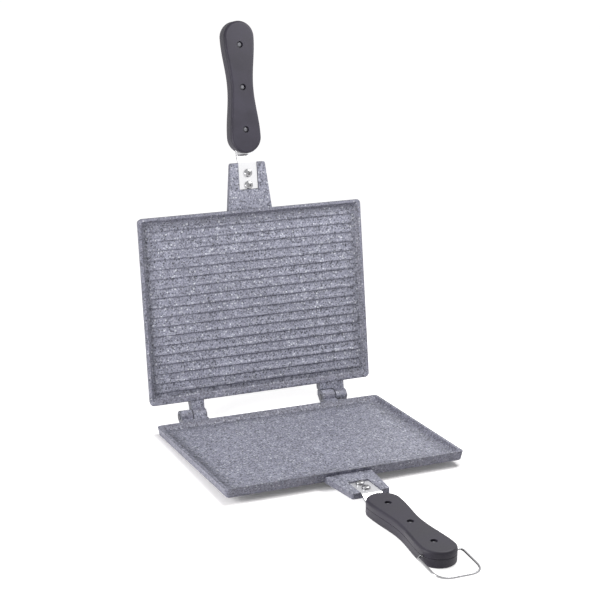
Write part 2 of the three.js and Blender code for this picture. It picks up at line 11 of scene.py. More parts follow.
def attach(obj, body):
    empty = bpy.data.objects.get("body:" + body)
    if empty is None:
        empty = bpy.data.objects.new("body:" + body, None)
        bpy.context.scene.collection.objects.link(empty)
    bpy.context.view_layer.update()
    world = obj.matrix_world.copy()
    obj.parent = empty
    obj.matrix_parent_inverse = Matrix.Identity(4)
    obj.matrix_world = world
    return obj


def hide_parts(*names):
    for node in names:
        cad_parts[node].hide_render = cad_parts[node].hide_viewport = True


bl_info = {
    "name": "Stovetop sandwich toaster",
    "version": (1, 0, 0),
    "blender": (4, 5, 0),
    "location": "3D View > Sidebar > Toaster",
    "description": "Makes the pieces, the finishes and the stage of a stovetop sandwich toaster",
    "category": "Add Mesh",
}

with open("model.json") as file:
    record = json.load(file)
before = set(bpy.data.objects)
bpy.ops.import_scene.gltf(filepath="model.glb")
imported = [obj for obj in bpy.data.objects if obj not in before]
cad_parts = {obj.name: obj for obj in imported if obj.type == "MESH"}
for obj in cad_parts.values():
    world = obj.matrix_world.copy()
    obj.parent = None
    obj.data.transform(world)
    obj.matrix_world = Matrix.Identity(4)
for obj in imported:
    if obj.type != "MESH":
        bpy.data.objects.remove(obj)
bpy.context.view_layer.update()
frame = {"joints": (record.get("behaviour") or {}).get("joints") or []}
JOINTS = {joint["name"]: joint for joint in frame["joints"]}
HINGE = JOINTS["upper_pan_hinge"]
RING_SWING = JOINTS["latch_ring_swing"]

MM = 0.001

# Facets
ARC_STEP = math.radians(11)  # the most that a rounded corner turns from one edge to the next
ROUND_SIDES = 48
WIRE_SIDES = 20
CORNER_STEPS = 8
EDGE_STEPS = 3
DOME_STEPS = 6
BEND_STEPS = 16
HANDLE_CAP_STEPS = 28
HANDLE_SIDE_STEPS = 24
RIB_END_STEPS = 4
SHARP_ANGLE = math.radians(35)
OVERRUN = 2 * MM  # how far a cutter runs past a face
BURIED = 0.5 * MM  # how far a rib's base lies under the tray floor

# The part's frame axes for an outline drawn as (y, z) and carried along X
ACROSS_X = Matrix(((0, 0, 1, 0), (1, 0, 0, 0), (0, 1, 0, 0), (0, 0, 0, 1)))

# Screw heads
SCREW_LIP = 0.4  # share of a head's height below its dome
CROSS_FLOOR = 0.5  # share of the cross's length that is left at its bottom

# Which way a face looks: the least part of its unit normal along that way
LOOKS_UP = 0.99
LOOKS_TO_HINGE = 0.4
LOOKS_ASIDE = 0.2
LOOKS_FULLY_ASIDE = 0.9

# Painted shade on a casting's faces, as a painted light level from 0, darkest, to 1, no painted
# shade
STEEP_PAINTED_LIGHT = 0.2  # the least level outside the tray, so steep faces are painted darkest there
RIM_PAINTED_LIGHT = 0.76  # the most level on the rim, which is painted a little darker
RIB_SIDE_PAINTED_LIGHT = 0.9  # level on a rib's side that looks to the hinge, at the handle's end of the tray: painted shade standing in for the shade under each rib
RIB_SIDE_PAINTED_SHADE_GAIN = 0.35  # how much darker such a side is painted at the hinge's end

# Granite coating
GRAIN_BANDS = (0.36, 0.47, 0.55, 0.68)  # noise of dark, middle, middle and pale grains
FLECK_EDGE = (0.2, 0.36)  # how far a fleck reaches, in shares of the fleck spacing
FLECKLESS = 0.66  # share of the possible flecks that are left out
COAT_CLOUDS = ((40, 0.92), (4, 0.70))  # size in grains, and brightness where it is darkest
PAINTED_SHADE_RAMP = (  # painted shade of the coating by a face's painted light level
    (0, (0.5, 0.5, 0.5)),
    (0.2, (0.65, 0.64, 0.66)),
    (0.6, (0.65, 0.64, 0.65)),
    (0.98, (1, 1, 1)),
)
PAINTED_BORDER_WIDTHS = 3  # the tray's border of painted shade, in widths of the rim and the tray wall together
PAINTED_BORDER_LEVELS = ((0, 1), (0.6, 0.68), (0.68, 0.68), (0.72, 1))  # painted brightness across the border

# Metals
LINE_LEVEL = 0.86  # brightness of the darker lines
CUT_LEVEL = (0.42, 0.42, 0.43)  # shade of a cut side
# Each one's colour, roughness, line spacing, pattern scale along X, Y and Z, and line depth
METALS = {
    "rolled steel": ("steel", 0.36, 0.35 * MM, (1, 0.04, 0.3), 0.03 * MM),
    "plated steel": ("plated", 0.24, 0.6 * MM, (1, 1, 1), 0.02 * MM),
    "dull metal": ("dull", 0.6, 0.5 * MM, (1, 1, 1), 0.05 * MM),
}

# Stage
WHITE = (1, 1, 1, 1)
SENSOR_WIDTH = 36  # in millimetres
FARTHEST_SEEN = 20


def in_mm(name, description, default):
    """A length as a property, its default given in millimetres."""
    return FloatProperty(
        name=name, description=description, default=default * MM, unit="LENGTH")


def in_degrees(name, description, default):
    """An angle as a property, its default given in degrees."""
    return FloatProperty(
        name=name, description=description, default=math.radians(default),
        subtype="ANGLE", unit="ROTATION")


def point_in_mm(name, description, default):
    """A point as a property, its default given in millimetres."""
    return FloatVectorProperty(
        name=name, description=description, default=[number * MM for number in default],
        subtype="TRANSLATION", unit="LENGTH", size=3)


def tint(name, description, default):
    """A colour as a property."""
    return FloatVectorProperty(
        name=name, description=description, default=default,
        subtype="COLOR", size=3, min=0, max=1)


class ToasterPanSizes(bpy.types.PropertyGroup):
    width: in_mm("Width", "Along the hinge", 230)
    length: in_mm("Length", "From hinge side to handle side", 178)
    depth: in_mm("Depth", "From underside to rim", 9.2)
    corner_radius: in_mm("Corner radius", "Of the rim, seen from above", 4.4)
    wall_draft: in_mm("Wall draft", "How far the wall leans in down to its foot", 1.6)
    foot_radius: in_mm("Foot radius", "Where the wall meets the underside", 2.2)
    rim_width: in_mm("Rim width", "Flat top of the wall", 3)
    rim_edge: in_mm("Rim edge", "Rounding of the rim's edges", 0.6)
    tray_depth: in_mm("Tray depth", "From rim to tray floor", 4)
    tray_wall_run: in_mm("Tray wall run", "How far the tray wall slopes in", 3)
    tray_corner_radius: in_mm("Tray corner radius", "Of the tray, seen from above", 3)
    tray_fillet: in_mm("Tray fillet", "Where the tray wall meets the floor", 1.8)


class ToasterRibSizes(bpy.types.PropertyGroup):
    pitch: in_mm("Pitch", "From rib to rib", 9)
    base: in_mm("Base width", "At the tray floor", 4)
    top: in_mm("Top width", "At the crest", 2)
    height: in_mm("Height", "Above the tray floor", 1.6)
    crest_radius: in_mm("Crest radius", "Rounding of the crest's edges", 0.8)
    end_gap: in_mm("End gap", "From rib end to tray wall", 1.5)
    side_margin: in_mm("Side margin", "Least floor beside the outer ribs", 4)
    end_run: in_mm("End run", "Length over which a rib's end comes down", 2)


class ToasterHingeSizes(bpy.types.PropertyGroup):
    inset: in_mm("Inset", "From the pan's side to the middle of a hinge", 40.5)
    knuckle_radius: in_mm("Knuckle radius", "Outside of the knuckles", 6)
    outer_knuckle_width: in_mm("Outer knuckle width", "Knuckle nearer the pan's side", 12)
    inner_knuckle_width: in_mm("Inner knuckle width", "Knuckle nearer the middle", 13.5)
    knuckle_gap: in_mm("Knuckle gap", "Between two knuckles", 0.6)
    lug_drop: in_mm("Lug drop", "From rim to the lugs' top", 0.5)
    lug_edge: in_mm("Lug edge", "Rounding of the lugs' edges", 0.5)
    pad_clearance: in_mm("Pad clearance", "From a pad to the other pan's knuckle", 0.9)
    stop_gap: in_mm("Stop gap", "From a stop to its pad when open", 0.3)
    stop_reach: in_mm("Stop reach", "Length of the stop's face", 7.5)
    rod_radius: in_mm("Rod radius", "Of the hinge rods", 2)
    rod_clearance: in_mm("Rod clearance", "Between a rod and its bore", 0.25)
    rod_head_radius: in_mm("Rod head radius", "Of the rods' heads", 3)
    rod_head_height: in_mm("Rod head height", "Of the rods' heads", 1)


class ToasterBracketSizes(bpy.types.PropertyGroup):
    length: in_mm("Length", "Out from the pan's wall", 44)
    root_width: in_mm("Root width", "At the pan", 45)
    end_width: in_mm("End width", "At the handle", 35.5)
    drop: in_mm("Drop", "From rim to the bracket's top", 3.4)
    end_radius: in_mm("End radius", "Of its end corners", 2)
    soft_edge: in_mm("Soft edge", "Rounding of its long edges", 0.8)
    root_inset: in_mm("Root inset", "How far it runs into the wall", 4.4)


class ToasterStripSizes(bpy.types.PropertyGroup):
    start: in_mm("Start", "From the rim to its inner end", 18.4)
    width: in_mm("Width", "Across the strip", 19)
    thickness: in_mm("Thickness", "Of the steel", 2)
    drop: in_mm("Drop", "From the bracket's top to the strip's", 1.2)
    bend_inset: in_mm("Bend inset", "Straight steel past the bracket and before the handle", 0.8)
    bend_radius: in_mm("Bend radius", "Inside of its two bends", 1.5)
    tail: in_mm("Tail", "Past the last rivet", 5)
    edge: in_mm("Edge", "Rounding of its cut edges", 0.25)
    seat_gap: in_mm("Seat gap", "Between the strip and its seats", 0.2)


class ToasterScrewSizes(bpy.types.PropertyGroup):
    edge: in_mm("Edge distance", "From the strip's end to the first screw", 4)
    pitch: in_mm("Pitch", "Between the two screws", 11.5)
    head_radius: in_mm("Head radius", "Of the pan head", 3.9)
    head_height: in_mm("Head height", "Of the pan head", 2.2)
    radius: in_mm("Shank radius", "Of the shank", 2)
    tip_inset: in_mm("Tip inset", "From the tip to the bracket's underside", 0.5)
    hole_clearance: in_mm("Hole clearance", "Between a shank and its hole", 0.2)
    slot_length: in_mm("Cross length", "Of the cross recess at the top", 4.6)
    slot_width: in_mm("Cross width", "Of the recess's arms", 1.1)
    slot_depth: in_mm("Cross depth", "Of the cross recess", 1.3)


class ToasterHandleSizes(bpy.types.PropertyGroup):
    offset: in_mm("Offset", "From the bracket to the handle", 8.8)
    length: in_mm("Length", "From end to end", 125)
    end_width: in_mm("End width", "At the round ends", 30.6)
    waist_width: in_mm("Waist width", "At the middle", 22.6)
    thickness: in_mm("Thickness", "Of both halves", 14.5)
    edge: in_mm("Edge", "Rounding of its long edges", 2.4)
    drop: in_mm("Drop", "From rim to the near end's top", 1.7)
    slope: in_degrees("Slope", "How far it slopes away from the other handle", 2)
    split_gap: in_mm("Split gap", "Between its two halves", 0.2)
    split_edge: in_mm("Split edge", "Rounding along the split", 0.2)
    rivet_shares: FloatVectorProperty(
        name="Rivet places", description="As shares of the handle's length",
        default=(0.18, 0.5, 0.82), size=3)
    rivet_radius: in_mm("Rivet radius", "Of the shank", 2)
    rivet_head_radius: in_mm("Rivet head radius", "Of the head", 2.5)
    rivet_head_height: in_mm("Rivet head height", "Of the head", 1.2)
    well_radius: in_mm("Well radius", "Of the wells round the rivet heads", 3)
    well_depth: in_mm("Well depth", "Of the wells", 2.6)
    well_mouth: in_mm("Well mouth", "Rounding of the wells' mouths", 0.2)


class ToasterRingSizes(bpy.types.PropertyGroup):
    wire_radius: in_mm("Wire radius", "Of the wire", 1)
    reach: in_mm("Reach", "From its pivot to its cross wire", 37)
    side_gap: in_mm("Side gap", "From the handle's side to a leg", 3.7)
    corner: in_mm("Corner", "Length of its corner bends", 13.2)
    foot_bend: in_mm("Foot bend", "Length of the bends at its feet", 4)
    pivot_inset: in_mm("Pivot inset", "From the handle's far end", 13)
    hole_depth: in_mm("Hole depth", "Of its holes in the handle", 6)
    hole_clearance: in_mm("Hole clearance", "Between the wire and its hole", 0.25)
    droop: in_degrees("Droop", "How far it hangs below the handle's line", 5)


class ToasterFinishes(bpy.types.PropertyGroup):
    coat_dark: tint(
        "Coating, dark grains", "Darkest grains of the granite coating", (0.060, 0.062, 0.080))
    coat_middle: tint(
        "Coating, middle grains", "Most of the granite coating", (0.312, 0.317, 0.396))
    coat_pale: tint(
        "Coating, pale grains", "Palest grains of the granite coating", (0.64, 0.645, 0.72))
    coat_fleck: tint("Coating, flecks", "White flecks in the granite coating", (0.76, 0.78, 0.83))
    grain_size: in_mm("Grain size", "Of the granite coating's grains", 1.6)
    fleck_size: in_mm("Fleck spacing", "From one possible fleck to the next", 2.7)
    resin: tint("Handle resin", "Dark resin of the handles", (0.026, 0.023, 0.034))
    resin_pale: tint("Handle resin, worn", "Paler clouds in the resin", (0.038, 0.034, 0.050))
    steel: tint("Rolled steel", "Steel of the strips", (0.80, 0.80, 0.815))
    plated: tint("Plated steel", "Screws and wire ring", (0.36, 0.36, 0.37))
    dull: tint("Dull metal", "Rivets and hinge rods", (0.17, 0.17, 0.185))


class ToasterStage(bpy.types.PropertyGroup):
    camera_place: point_in_mm("Camera place", "In the part's frame", (-583.48, -1304.69, 523.06))
    camera_azimuth: in_degrees("Camera azimuth", "Of its line of sight, from +Y towards +X", 23.85)
    camera_elevation: in_degrees("Camera elevation", "How far it looks down", 15)
    camera_roll: in_degrees("Camera roll", "About its line of sight", -0.148)
    camera_lens: FloatProperty(
        name="Lens", description="Focal length in millimetres, on a 36 mm sensor",
        default=99.16, unit="CAMERA")
    key_power: FloatProperty(
        name="Key power", description="Of the soft lamp high on the right, in watts",
        default=2.1, unit="POWER")
    key_place: point_in_mm("Key place", "Middle of the key lamp", (250, -100, 500))
    side_power: FloatProperty(
        name="Side power", description="Of the soft lamp low on the left, in watts",
        default=2.1, unit="POWER")
    side_place: point_in_mm("Side place", "Middle of the side lamp", (-500, -100, 180))
    lamp_size: in_mm("Lamp size", "Across each round lamp", 260)
    lamp_target: point_in_mm("Lamp target", "The point that both lamps face", (0, 50, 80))
    sky_strength: FloatProperty(
        name="Sky strength", description="Even light from all round", default=0.34)
    floor_size: in_mm("Floor size", "Side of the floor", 8000)
    floor_glow: FloatProperty(
        name="Floor glow",
        description="Plain white added where the floor is seen, so that it stays white",
        default=0.7, min=0, max=1, subtype="FACTOR")
    near_glow: FloatProperty(
        name="Glow at the pan", description="Share of the glow that is left beside the pan",
        default=0.15, min=0, max=1, subtype="FACTOR")
    shadow_reach: in_mm("Shadow reach", "How far from the pan the glow takes to come up", 7)
    floor_seen: tint("Floor, seen", "Colour of the floor that takes the shadow", (1, 0.98, 0.98))
    floor_bounce: tint(
        "Floor, bounce", "Colour of the light that the floor throws back", (0.80, 0.80, 0.80))


class ToasterSettings(bpy.types.PropertyGroup):
    pan: PointerProperty(
        type=ToasterPanSizes, name="Pan", description="Sizes of both pans")
    rib: PointerProperty(
        type=ToasterRibSizes, name="Ribs", description="Sizes of the upper pan's ribs")
    hinge: PointerProperty(
        type=ToasterHingeSizes, name="Hinge", description="Sizes of the hinge")
    bracket: PointerProperty(
        type=ToasterBracketSizes, name="Brackets", description="Sizes of the handle brackets")
    strip: PointerProperty(
        type=ToasterStripSizes, name="Strips", description="Sizes of the steel strips")
    screw: PointerProperty(
        type=ToasterScrewSizes, name="Screws", description="Sizes of the strip screws")
    handle: PointerProperty(
        type=ToasterHandleSizes, name="Handles", description="Sizes of the handles and rivets")
    ring: PointerProperty(
        type=ToasterRingSizes, name="Ring", description="Sizes of the wire ring")
    finish: PointerProperty(
        type=ToasterFinishes, name="Finishes", description="Colours and grain")
    stage: PointerProperty(
        type=ToasterStage, name="Stage", description="Camera, light and floor")


# Places

def layout(s):
    """The places that follow from the sizes, and the frames of the castings, handles and ring."""
    at = SimpleNamespace()
    at.rim_back = s.pan.length / 2
    at.rim_front = -s.pan.length / 2
    at.tray_inset = s.pan.rim_width + s.pan.tray_wall_run
    at.axis_y = HINGE["pos_m"][1]
    at.axis_z = HINGE["pos_m"][2] - s.pan.depth
    at.hinge_x = s.pan.width / 2 - s.hinge.inset
    at.pad_radius = s.hinge.knuckle_radius + s.hinge.pad_clearance
    at.bracket_end_y = at.rim_front - s.bracket.length
    at.strip_top = -s.bracket.drop - s.strip.drop
    at.strip_start_y = at.rim_front - s.strip.start
    first_screw = at.strip_start_y - s.screw.edge
    at.screws = [first_screw, first_screw - s.screw.pitch]
    at.handle_near_y = at.bracket_end_y - s.handle.offset
    at.strip_in_handle = -(s.handle.thickness - s.strip.thickness) / 2
    at.inner_half_face = at.strip_in_handle + s.strip.seat_gap
    at.outer_half_face = at.inner_half_face - s.handle.split_gap
    at.ring_pivot_y = -(s.handle.length - s.ring.pivot_inset)
    at.ring_pivot_z = (at.inner_half_face + at.outer_half_face) / 2
    at.open_angle = math.radians(HINGE["range_deg"][1])
    turned_over = Matrix.Translation((0, -at.axis_y, at.axis_z)) @ Matrix.Rotation(math.pi, 4, "Y")
    opened = Matrix.Translation(HINGE["pos_m"]) @ Matrix.Rotation(-at.open_angle, 4, "X")
    at.casting = {
        "lower": Matrix.Translation((0, 0, s.pan.depth)),
        "upper": opened @ turned_over,
    }
    sloped = Matrix.Rotation(s.handle.slope, 4, "X")
    at.on_casting = Matrix.Translation((0, at.handle_near_y, -s.handle.drop)) @ sloped
    at.handle = {side: matrix @ at.on_casting for side, matrix in at.casting.items()}
    drooped = Matrix.Rotation(s.handle.slope + s.ring.droop, 4, "X")
    at.ring = Matrix.Translation(RING_SWING["pos_m"]) @ drooped
    return at


# Outlines and solids

def filleted(corners, closed=True):
    """Points of a line through corners (x, y, radius), each corner rounded to its radius."""
    points = []
    for i, (x, y, radius) in enumerate(corners):
        here = Vector((x, y))
        if radius <= 0 or (not closed and i in (0, len(corners) - 1)):
            points.append(here)
            continue
        before = (Vector(corners[i - 1][:2]) - here).normalized()
        after = (Vector(corners[(i + 1) % len(corners)][:2]) - here).normalized()
        half = before.angle(after) / 2
        centre = here + (before + after).normalized() * radius / math.sin(half)
        start = here + before * radius / math.tan(half) - centre
        turn = start.angle_signed(here + after * radius / math.tan(half) - centre)
        steps = max(2, math.ceil(abs(turn) / ARC_STEP))
        for step in range(steps + 1):
            points.append(centre + Matrix.Rotation(-turn * step / steps, 2) @ start)
    return points


def rounded_rectangle(half_x, half_y, radius):
    """Points of a rectangle with round corners, anticlockwise."""
    points = []
    for quarter, (side_x, side_y) in enumerate(((1, 1), (-1, 1), (-1, -1), (1, -1))):
        for step in range(CORNER_STEPS + 1):
            angle = (quarter + step / CORNER_STEPS) * math.pi / 2
            points.append(Vector((
                side_x * (half_x - radius) + radius * math.cos(angle),
                side_y * (half_y - radius) + radius * math.sin(angle),
            )))
    return points


def lifted(outline, z):
    """The points of an outline at one height."""
    return [point.to_3d() + Vector((0, 0, z)) for point in outline]


def drawn_in(outline, inset):
    """A closed outline, anticlockwise, moved inwards."""
    points = []
    for i, here in enumerate(outline):
        along = [here - outline[i - 1], outline[(i + 1) % len(outline)] - here]
        inward = [Vector((-a.y, a.x)).normalized() for a in along]
        middle = (inward[0] + inward[1]).normalized()
        points.append(here + middle * inset / middle.dot(inward[0]))
    return points


def solid(points, faces, matrix=None):
    """A closed mesh with its faces outwards."""
    mesh = bpy.data.meshes.new("solid")
    mesh.from_pydata(points, [], faces)
    if matrix is not None:
        mesh.transform(matrix)
    work = bmesh.new()
    work.from_mesh(mesh)
    if work.calc_volume(signed=True) < 0:
        bmesh.ops.reverse_faces(work, faces=work.faces)
    work.to_mesh(mesh)
    work.free()
    return mesh


def skin(rings, matrix=None):
    """A closed skin over rings with equally many points, flat at both ends."""
    count = len(rings[0])
    last = (len(rings) - 1) * count
    faces = []
    for start in range(0, last, count):
        for i in range(count):
            after = (i + 1) % count
            faces.append((start + i, start + after, start + count + after, start + count + i))
    faces += [tuple(reversed(range(count))), tuple(range(last, last + count))]
    return solid([point for ring in rings for point in ring], faces, matrix)


def soft_prism(outline, low, high, edge_low, edge_high, matrix=None):
    """A solid over a closed outline, from height low to high, with rounded edges at both ends."""
    twice_area = sum(a.cross(b) for a, b in zip(outline, outline[1:] + outline[:1]))
    outline = outline if twice_area > 0 else outline[::-1]
    rings = []
    for end, inwards, edge in ((low, 1, edge_low), (high, -1, edge_high)):
        for step in range(EDGE_STEPS + 1)[::inwards]:
            angle = step / EDGE_STEPS * math.pi / 2
            height = end + inwards * edge * (1 - math.cos(angle))
            rings.append(lifted(drawn_in(outline, edge * (1 - math.sin(angle))), height))
    return skin(rings, matrix)


def side_prism(outline, x0, x1, edge):
    """A solid over an outline of the side view, from x0 to x1, with rounded edges at both ends."""
    return soft_prism(outline, x0, x1, edge, edge, ACROSS_X)


def turned(profile, matrix=None, sides=ROUND_SIDES):
    """A turned solid about Z from (radius, z) points that start and end on the axis."""
    points = [Vector((0, 0, profile[0][1])), Vector((0, 0, profile[-1][1]))]
    middle = profile[1:-1]
    for radius, z in middle:
        for side in range(sides):
            angle = 2 * math.pi * side / sides
            points.append(Vector((radius * math.cos(angle), radius * math.sin(angle), z)))

    def at(ring, side):
        return 2 + ring * sides + side % sides

    faces = [
        (at(ring, side), at(ring, side + 1), at(ring + 1, side + 1), at(ring + 1, side))
        for ring in range(len(middle) - 1)
        for side in range(sides)
    ]
    for side in range(sides):
        faces.append((0, at(0, side + 1), at(0, side)))
        faces.append((1, at(len(middle) - 1, side), at(len(middle) - 1, side + 1)))
    return solid(points, faces, matrix)


def rod(radius, low, high, matrix=None):
    """A plain round rod about Z."""
    return turned([(0, low), (radius, low), (radius, high), (0, high)], matrix)


def box(low, high):
    """A plain box between two corners."""
    (x0, y0, z0), (x1, y1, z1) = low, high
    outline = [Vector(corner) for corner in ((x0, y0), (x1, y0), (x1, y1), (x0, y1))]
    return skin([lifted(outline, z0), lifted(outline, z1)])


def along_x(y, z):
    """The matrix that lays a solid about Z along X, through a point of the side view."""
    return Matrix.Translation((0, y, z)) @ Matrix.Rotation(math.pi / 2, 4, "Y")


def side_by_side(meshes):
    """Several meshes that don't touch as one mesh."""
    work = bmesh.new()
    for mesh in meshes:
        work.from_mesh(mesh)
        bpy.data.meshes.remove(mesh)
    result = bpy.data.meshes.new("solid")
    work.to_mesh(result)
    work.free()
    return result


def is_closed(mesh):
    """Whether each edge of a mesh has two faces."""
    work = bmesh.new()
    work.from_mesh(mesh)
    closed = bool(work.faces) and all(edge.is_manifold for edge in work.edges)
    work.free()
    return closed


def new_object(name, data):
    """An object in the scene."""
    made = bpy.data.objects.new(name, data)
    bpy.context.scene.collection.objects.link(made)
    return made


def combine(mesh, other, operation):
    """The union or difference of two closed meshes, which are used up."""
    for solver in ("MANIFOLD", "EXACT"):
        objects = [new_object("solid", data) for data in (mesh, other)]
        modifier = objects[0].modifiers.new("combine", "BOOLEAN")
        modifier.object = objects[1]
        modifier.operation = operation
        modifier.solver = solver
        shown = objects[0].evaluated_get(bpy.context.evaluated_depsgraph_get())
        result = bpy.data.meshes.new_from_object(shown)
        for piece in objects:
            bpy.data.objects.remove(piece)
        if is_closed(result):
            bpy.data.meshes.remove(mesh)
            bpy.data.meshes.remove(other)
            return result
        bpy.data.meshes.remove(result)
    raise RuntimeError(f"two solids can't be combined by {operation}")


def less(mesh, cutters):
    """A closed mesh with several cutters taken out of it, which don't touch each other."""
    return combine(mesh, side_by_side(cutters), "DIFFERENCE")


def place(name, mesh, matrix, material, node, body):
    """A finished mesh as a piece that stands for a node of the frame and rides on its body."""
    mesh.transform(matrix)
    mesh.name = name
    mesh.materials.clear()
    mesh.materials.append(material)
    mesh.shade_smooth()
    mesh.set_sharp_from_angle(angle=SHARP_ANGLE)
    piece = new_object(name, mesh)
    normals = piece.modifiers.new("weighted normals", "WEIGHTED_NORMAL")
    normals.mode = "FACE_AREA_WITH_ANGLE"
    normals.keep_sharp = True
    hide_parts(node)
    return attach(piece, body)


# Castings

def pan_solid(s, at):
    """The pan: flat underside, rounded foot, leaning wall, soft rim and a tray with a fillet."""
    pan = s.pan
    lean = pan.wall_draft * pan.depth / (pan.depth - pan.foot_radius)
    outside = [
        (2 * at.tray_inset, -pan.depth, 0),
        (lean, -pan.depth, pan.foot_radius),
        (0, 0, pan.rim_edge),
        (pan.rim_width / 2, 0, 0),
    ]
    inside = [
        (pan.rim_width / 2, 0, 0),
        (pan.rim_width, 0, pan.rim_edge),
        (at.tray_inset, -pan.tray_depth, pan.tray_fillet),
        (2 * at.tray_inset, -pan.tray_depth, 0),
    ]
    rings = []
    for profile, least in ((outside, pan.foot_radius), (inside, pan.tray_corner_radius)):
        for inset, z in filleted(profile, closed=False):
            radius = max(pan.corner_radius - inset, least)
            outline = rounded_rectangle(pan.width / 2 - inset, pan.length / 2 - inset, radius)
            rings.append(lifted(outline, z))
    return skin(rings)


def rib_solids(s, at):
    """The ribs across the tray, each with soft edges and sloping ends."""
    rib = s.rib
    floor_length = s.pan.length - 2 * at.tray_inset
    count = math.floor((floor_length - 2 * rib.side_margin - rib.base) / rib.pitch) + 1
    half_length = s.pan.width / 2 - at.tray_inset - rib.end_gap
    section = filleted([
        (-rib.base / 2, -BURIED, 0),
        (rib.base / 2, -BURIED, 0),
        (rib.base / 2, 0, 0),
        (rib.top / 2, rib.height, rib.crest_radius),
        (-rib.top / 2, rib.height, rib.crest_radius),
        (-rib.base / 2, 0, 0),
    ])
    stations = []
    for step in range(1, RIB_END_STEPS + 1):
        share = math.sin(step / RIB_END_STEPS * math.pi / 2)
        stations.append((half_length - rib.end_run * share, share))
    stations = [(-x, share) for x, share in stations] + stations[::-1]
    ribs = []
    for i in range(count):
        y = (i - (count - 1) / 2) * rib.pitch
        ribs.append(skin([
            [
                Vector((x, y + u * share, (v * share if v > 0 else v) - s.pan.tray_depth))
                for u, v in section
            ]
            for x, share in stations
        ]))
    return side_by_side(ribs)


def lug_solid(s, at, x0, x1):
    """An arm from the pan's back wall with a knuckle on its end."""
    radius = s.hinge.knuckle_radius
    top = -s.hinge.lug_drop
    start = -math.pi / 2
    turn = math.pi - math.asin((top - at.axis_z) / radius) - start
    steps = math.ceil(turn / ARC_STEP) * 2
    outline = [
        Vector((at.rim_back - at.tray_inset, -s.pan.depth)),
        Vector((at.rim_back + s.pan.foot_radius, -s.pan.depth)),
    ]
    for step in range(steps + 1):
        angle = start + turn * step / steps
        y, z = at.axis_y + radius * math.cos(angle), at.axis_z + radius * math.sin(angle)
        outline.append(Vector((y, z)))
    outline.append(Vector((at.rim_back - s.pan.rim_width, top)))
    return side_prism(outline, x0, x1, s.hinge.lug_edge)


def pad_solid(s, at, x0, x1):
    """The wide pad behind the pan's wall that an outer knuckle stands on."""
    edge = 2 * s.hinge.lug_edge
    outline = filleted([
        (at.rim_back - s.pan.rim_width, -s.pan.depth, 0),
        (at.axis_y - at.pad_radius, -s.pan.depth, edge),
        (at.axis_y - at.pad_radius, -s.hinge.lug_drop, edge),
        (at.rim_back - s.pan.rim_width, -s.hinge.lug_drop, 0),
    ])
    return side_prism(outline, x0, x1, s.hinge.lug_edge)


def stop_solid(s, at, x0, x1):
    """The block behind an inner knuckle that the other pan's pad comes down on."""
    pad = Vector((-math.cos(at.open_angle), math.sin(at.open_angle)))
    out = Vector((math.sin(at.open_angle), math.cos(at.open_angle)))
    corner = pad * (at.pad_radius - s.hinge.stop_gap)
    tip = corner + out * s.hinge.stop_reach
    under = s.hinge.knuckle_radius * math.sqrt(0.5)
    edge = 2 * s.hinge.lug_edge
    corners = [(0, 0, 0), (*corner, edge), (*tip, edge), (tip.x, 0, edge), (under, -under, 0)]
    outline = filleted([(at.axis_y + y, at.axis_z + z, radius) for y, z, radius in corners])
    return side_prism(outline, x0, x1, s.hinge.lug_edge)


def bracket_solid(s, at):
    """The tapered bracket, with its channel for the strip and two screw holes."""
    root, end = s.bracket.root_width / 2, s.bracket.end_width / 2
    inner_y = at.rim_front + s.bracket.root_inset
    outline = filleted([
        (-root, inner_y, 0),
        (-root, at.rim_front, 0),
        (-end, at.bracket_end_y, s.bracket.end_radius),
        (end, at.bracket_end_y, s.bracket.end_radius),
        (root, at.rim_front, 0),
        (root, inner_y, 0),
    ])
    edge = s.bracket.soft_edge
    top = -s.bracket.drop
    bracket = soft_prism(outline, -s.pan.depth, top, edge, edge)
    half = s.strip.width / 2 + s.strip.seat_gap
    lip = edge / 2
    floor = at.strip_top - s.strip.thickness - s.strip.seat_gap
    section = [(-half, floor), (half, floor), (half, top - lip)]
    section += [(half + lip, top), (half + lip, top + OVERRUN)]
    section += [(-x, z) for x, z in section[:1:-1]]
    channel = skin([
        [Vector((x, y, z)) for x, z in section]
        for y in (at.strip_start_y + s.strip.seat_gap, at.bracket_end_y - OVERRUN)
    ])
    radius = s.screw.radius + s.screw.hole_clearance
    holes = [
        rod(radius, -s.pan.depth - OVERRUN, 0, Matrix.Translation((0, y, 0))) for y in at.screws
    ]
    return less(combine(bracket, channel, "DIFFERENCE"), holes)


def casting_solid(s, at, ribbed):
    """A whole casting: pan, ribs if it has them, bracket, pad, knuckles, stop and bores."""
    near = at.hinge_x + s.hinge.knuckle_gap / 2
    far = at.hinge_x - s.hinge.knuckle_gap / 2
    outer = (-near - s.hinge.outer_knuckle_width, -near)
    inner = (far - s.hinge.inner_knuckle_width, far)
    parts = [rib_solids(s, at)] if ribbed else []
    parts += [
        bracket_solid(s, at),
        pad_solid(s, at, outer[0], s.hinge.inner_knuckle_width - far),
        lug_solid(s, at, *outer),
        lug_solid(s, at, *inner),
        stop_solid(s, at, *inner),
    ]
    casting = pan_solid(s, at)
    for part in parts:
        casting = combine(casting, part, "UNION")
    radius = s.hinge.rod_radius + s.hinge.rod_clearance
    axis = along_x(at.axis_y, at.axis_z)
    return less(casting, [
        rod(radius, x0 - OVERRUN, x1 + OVERRUN, axis) for x0, x1 in (outer, inner)
    ])


def noted(mesh, name, values):
    """A mesh with one number noted on each face."""
    mesh.attributes.new(name, "FLOAT", "FACE").data.foreach_set("value", values)
    return mesh


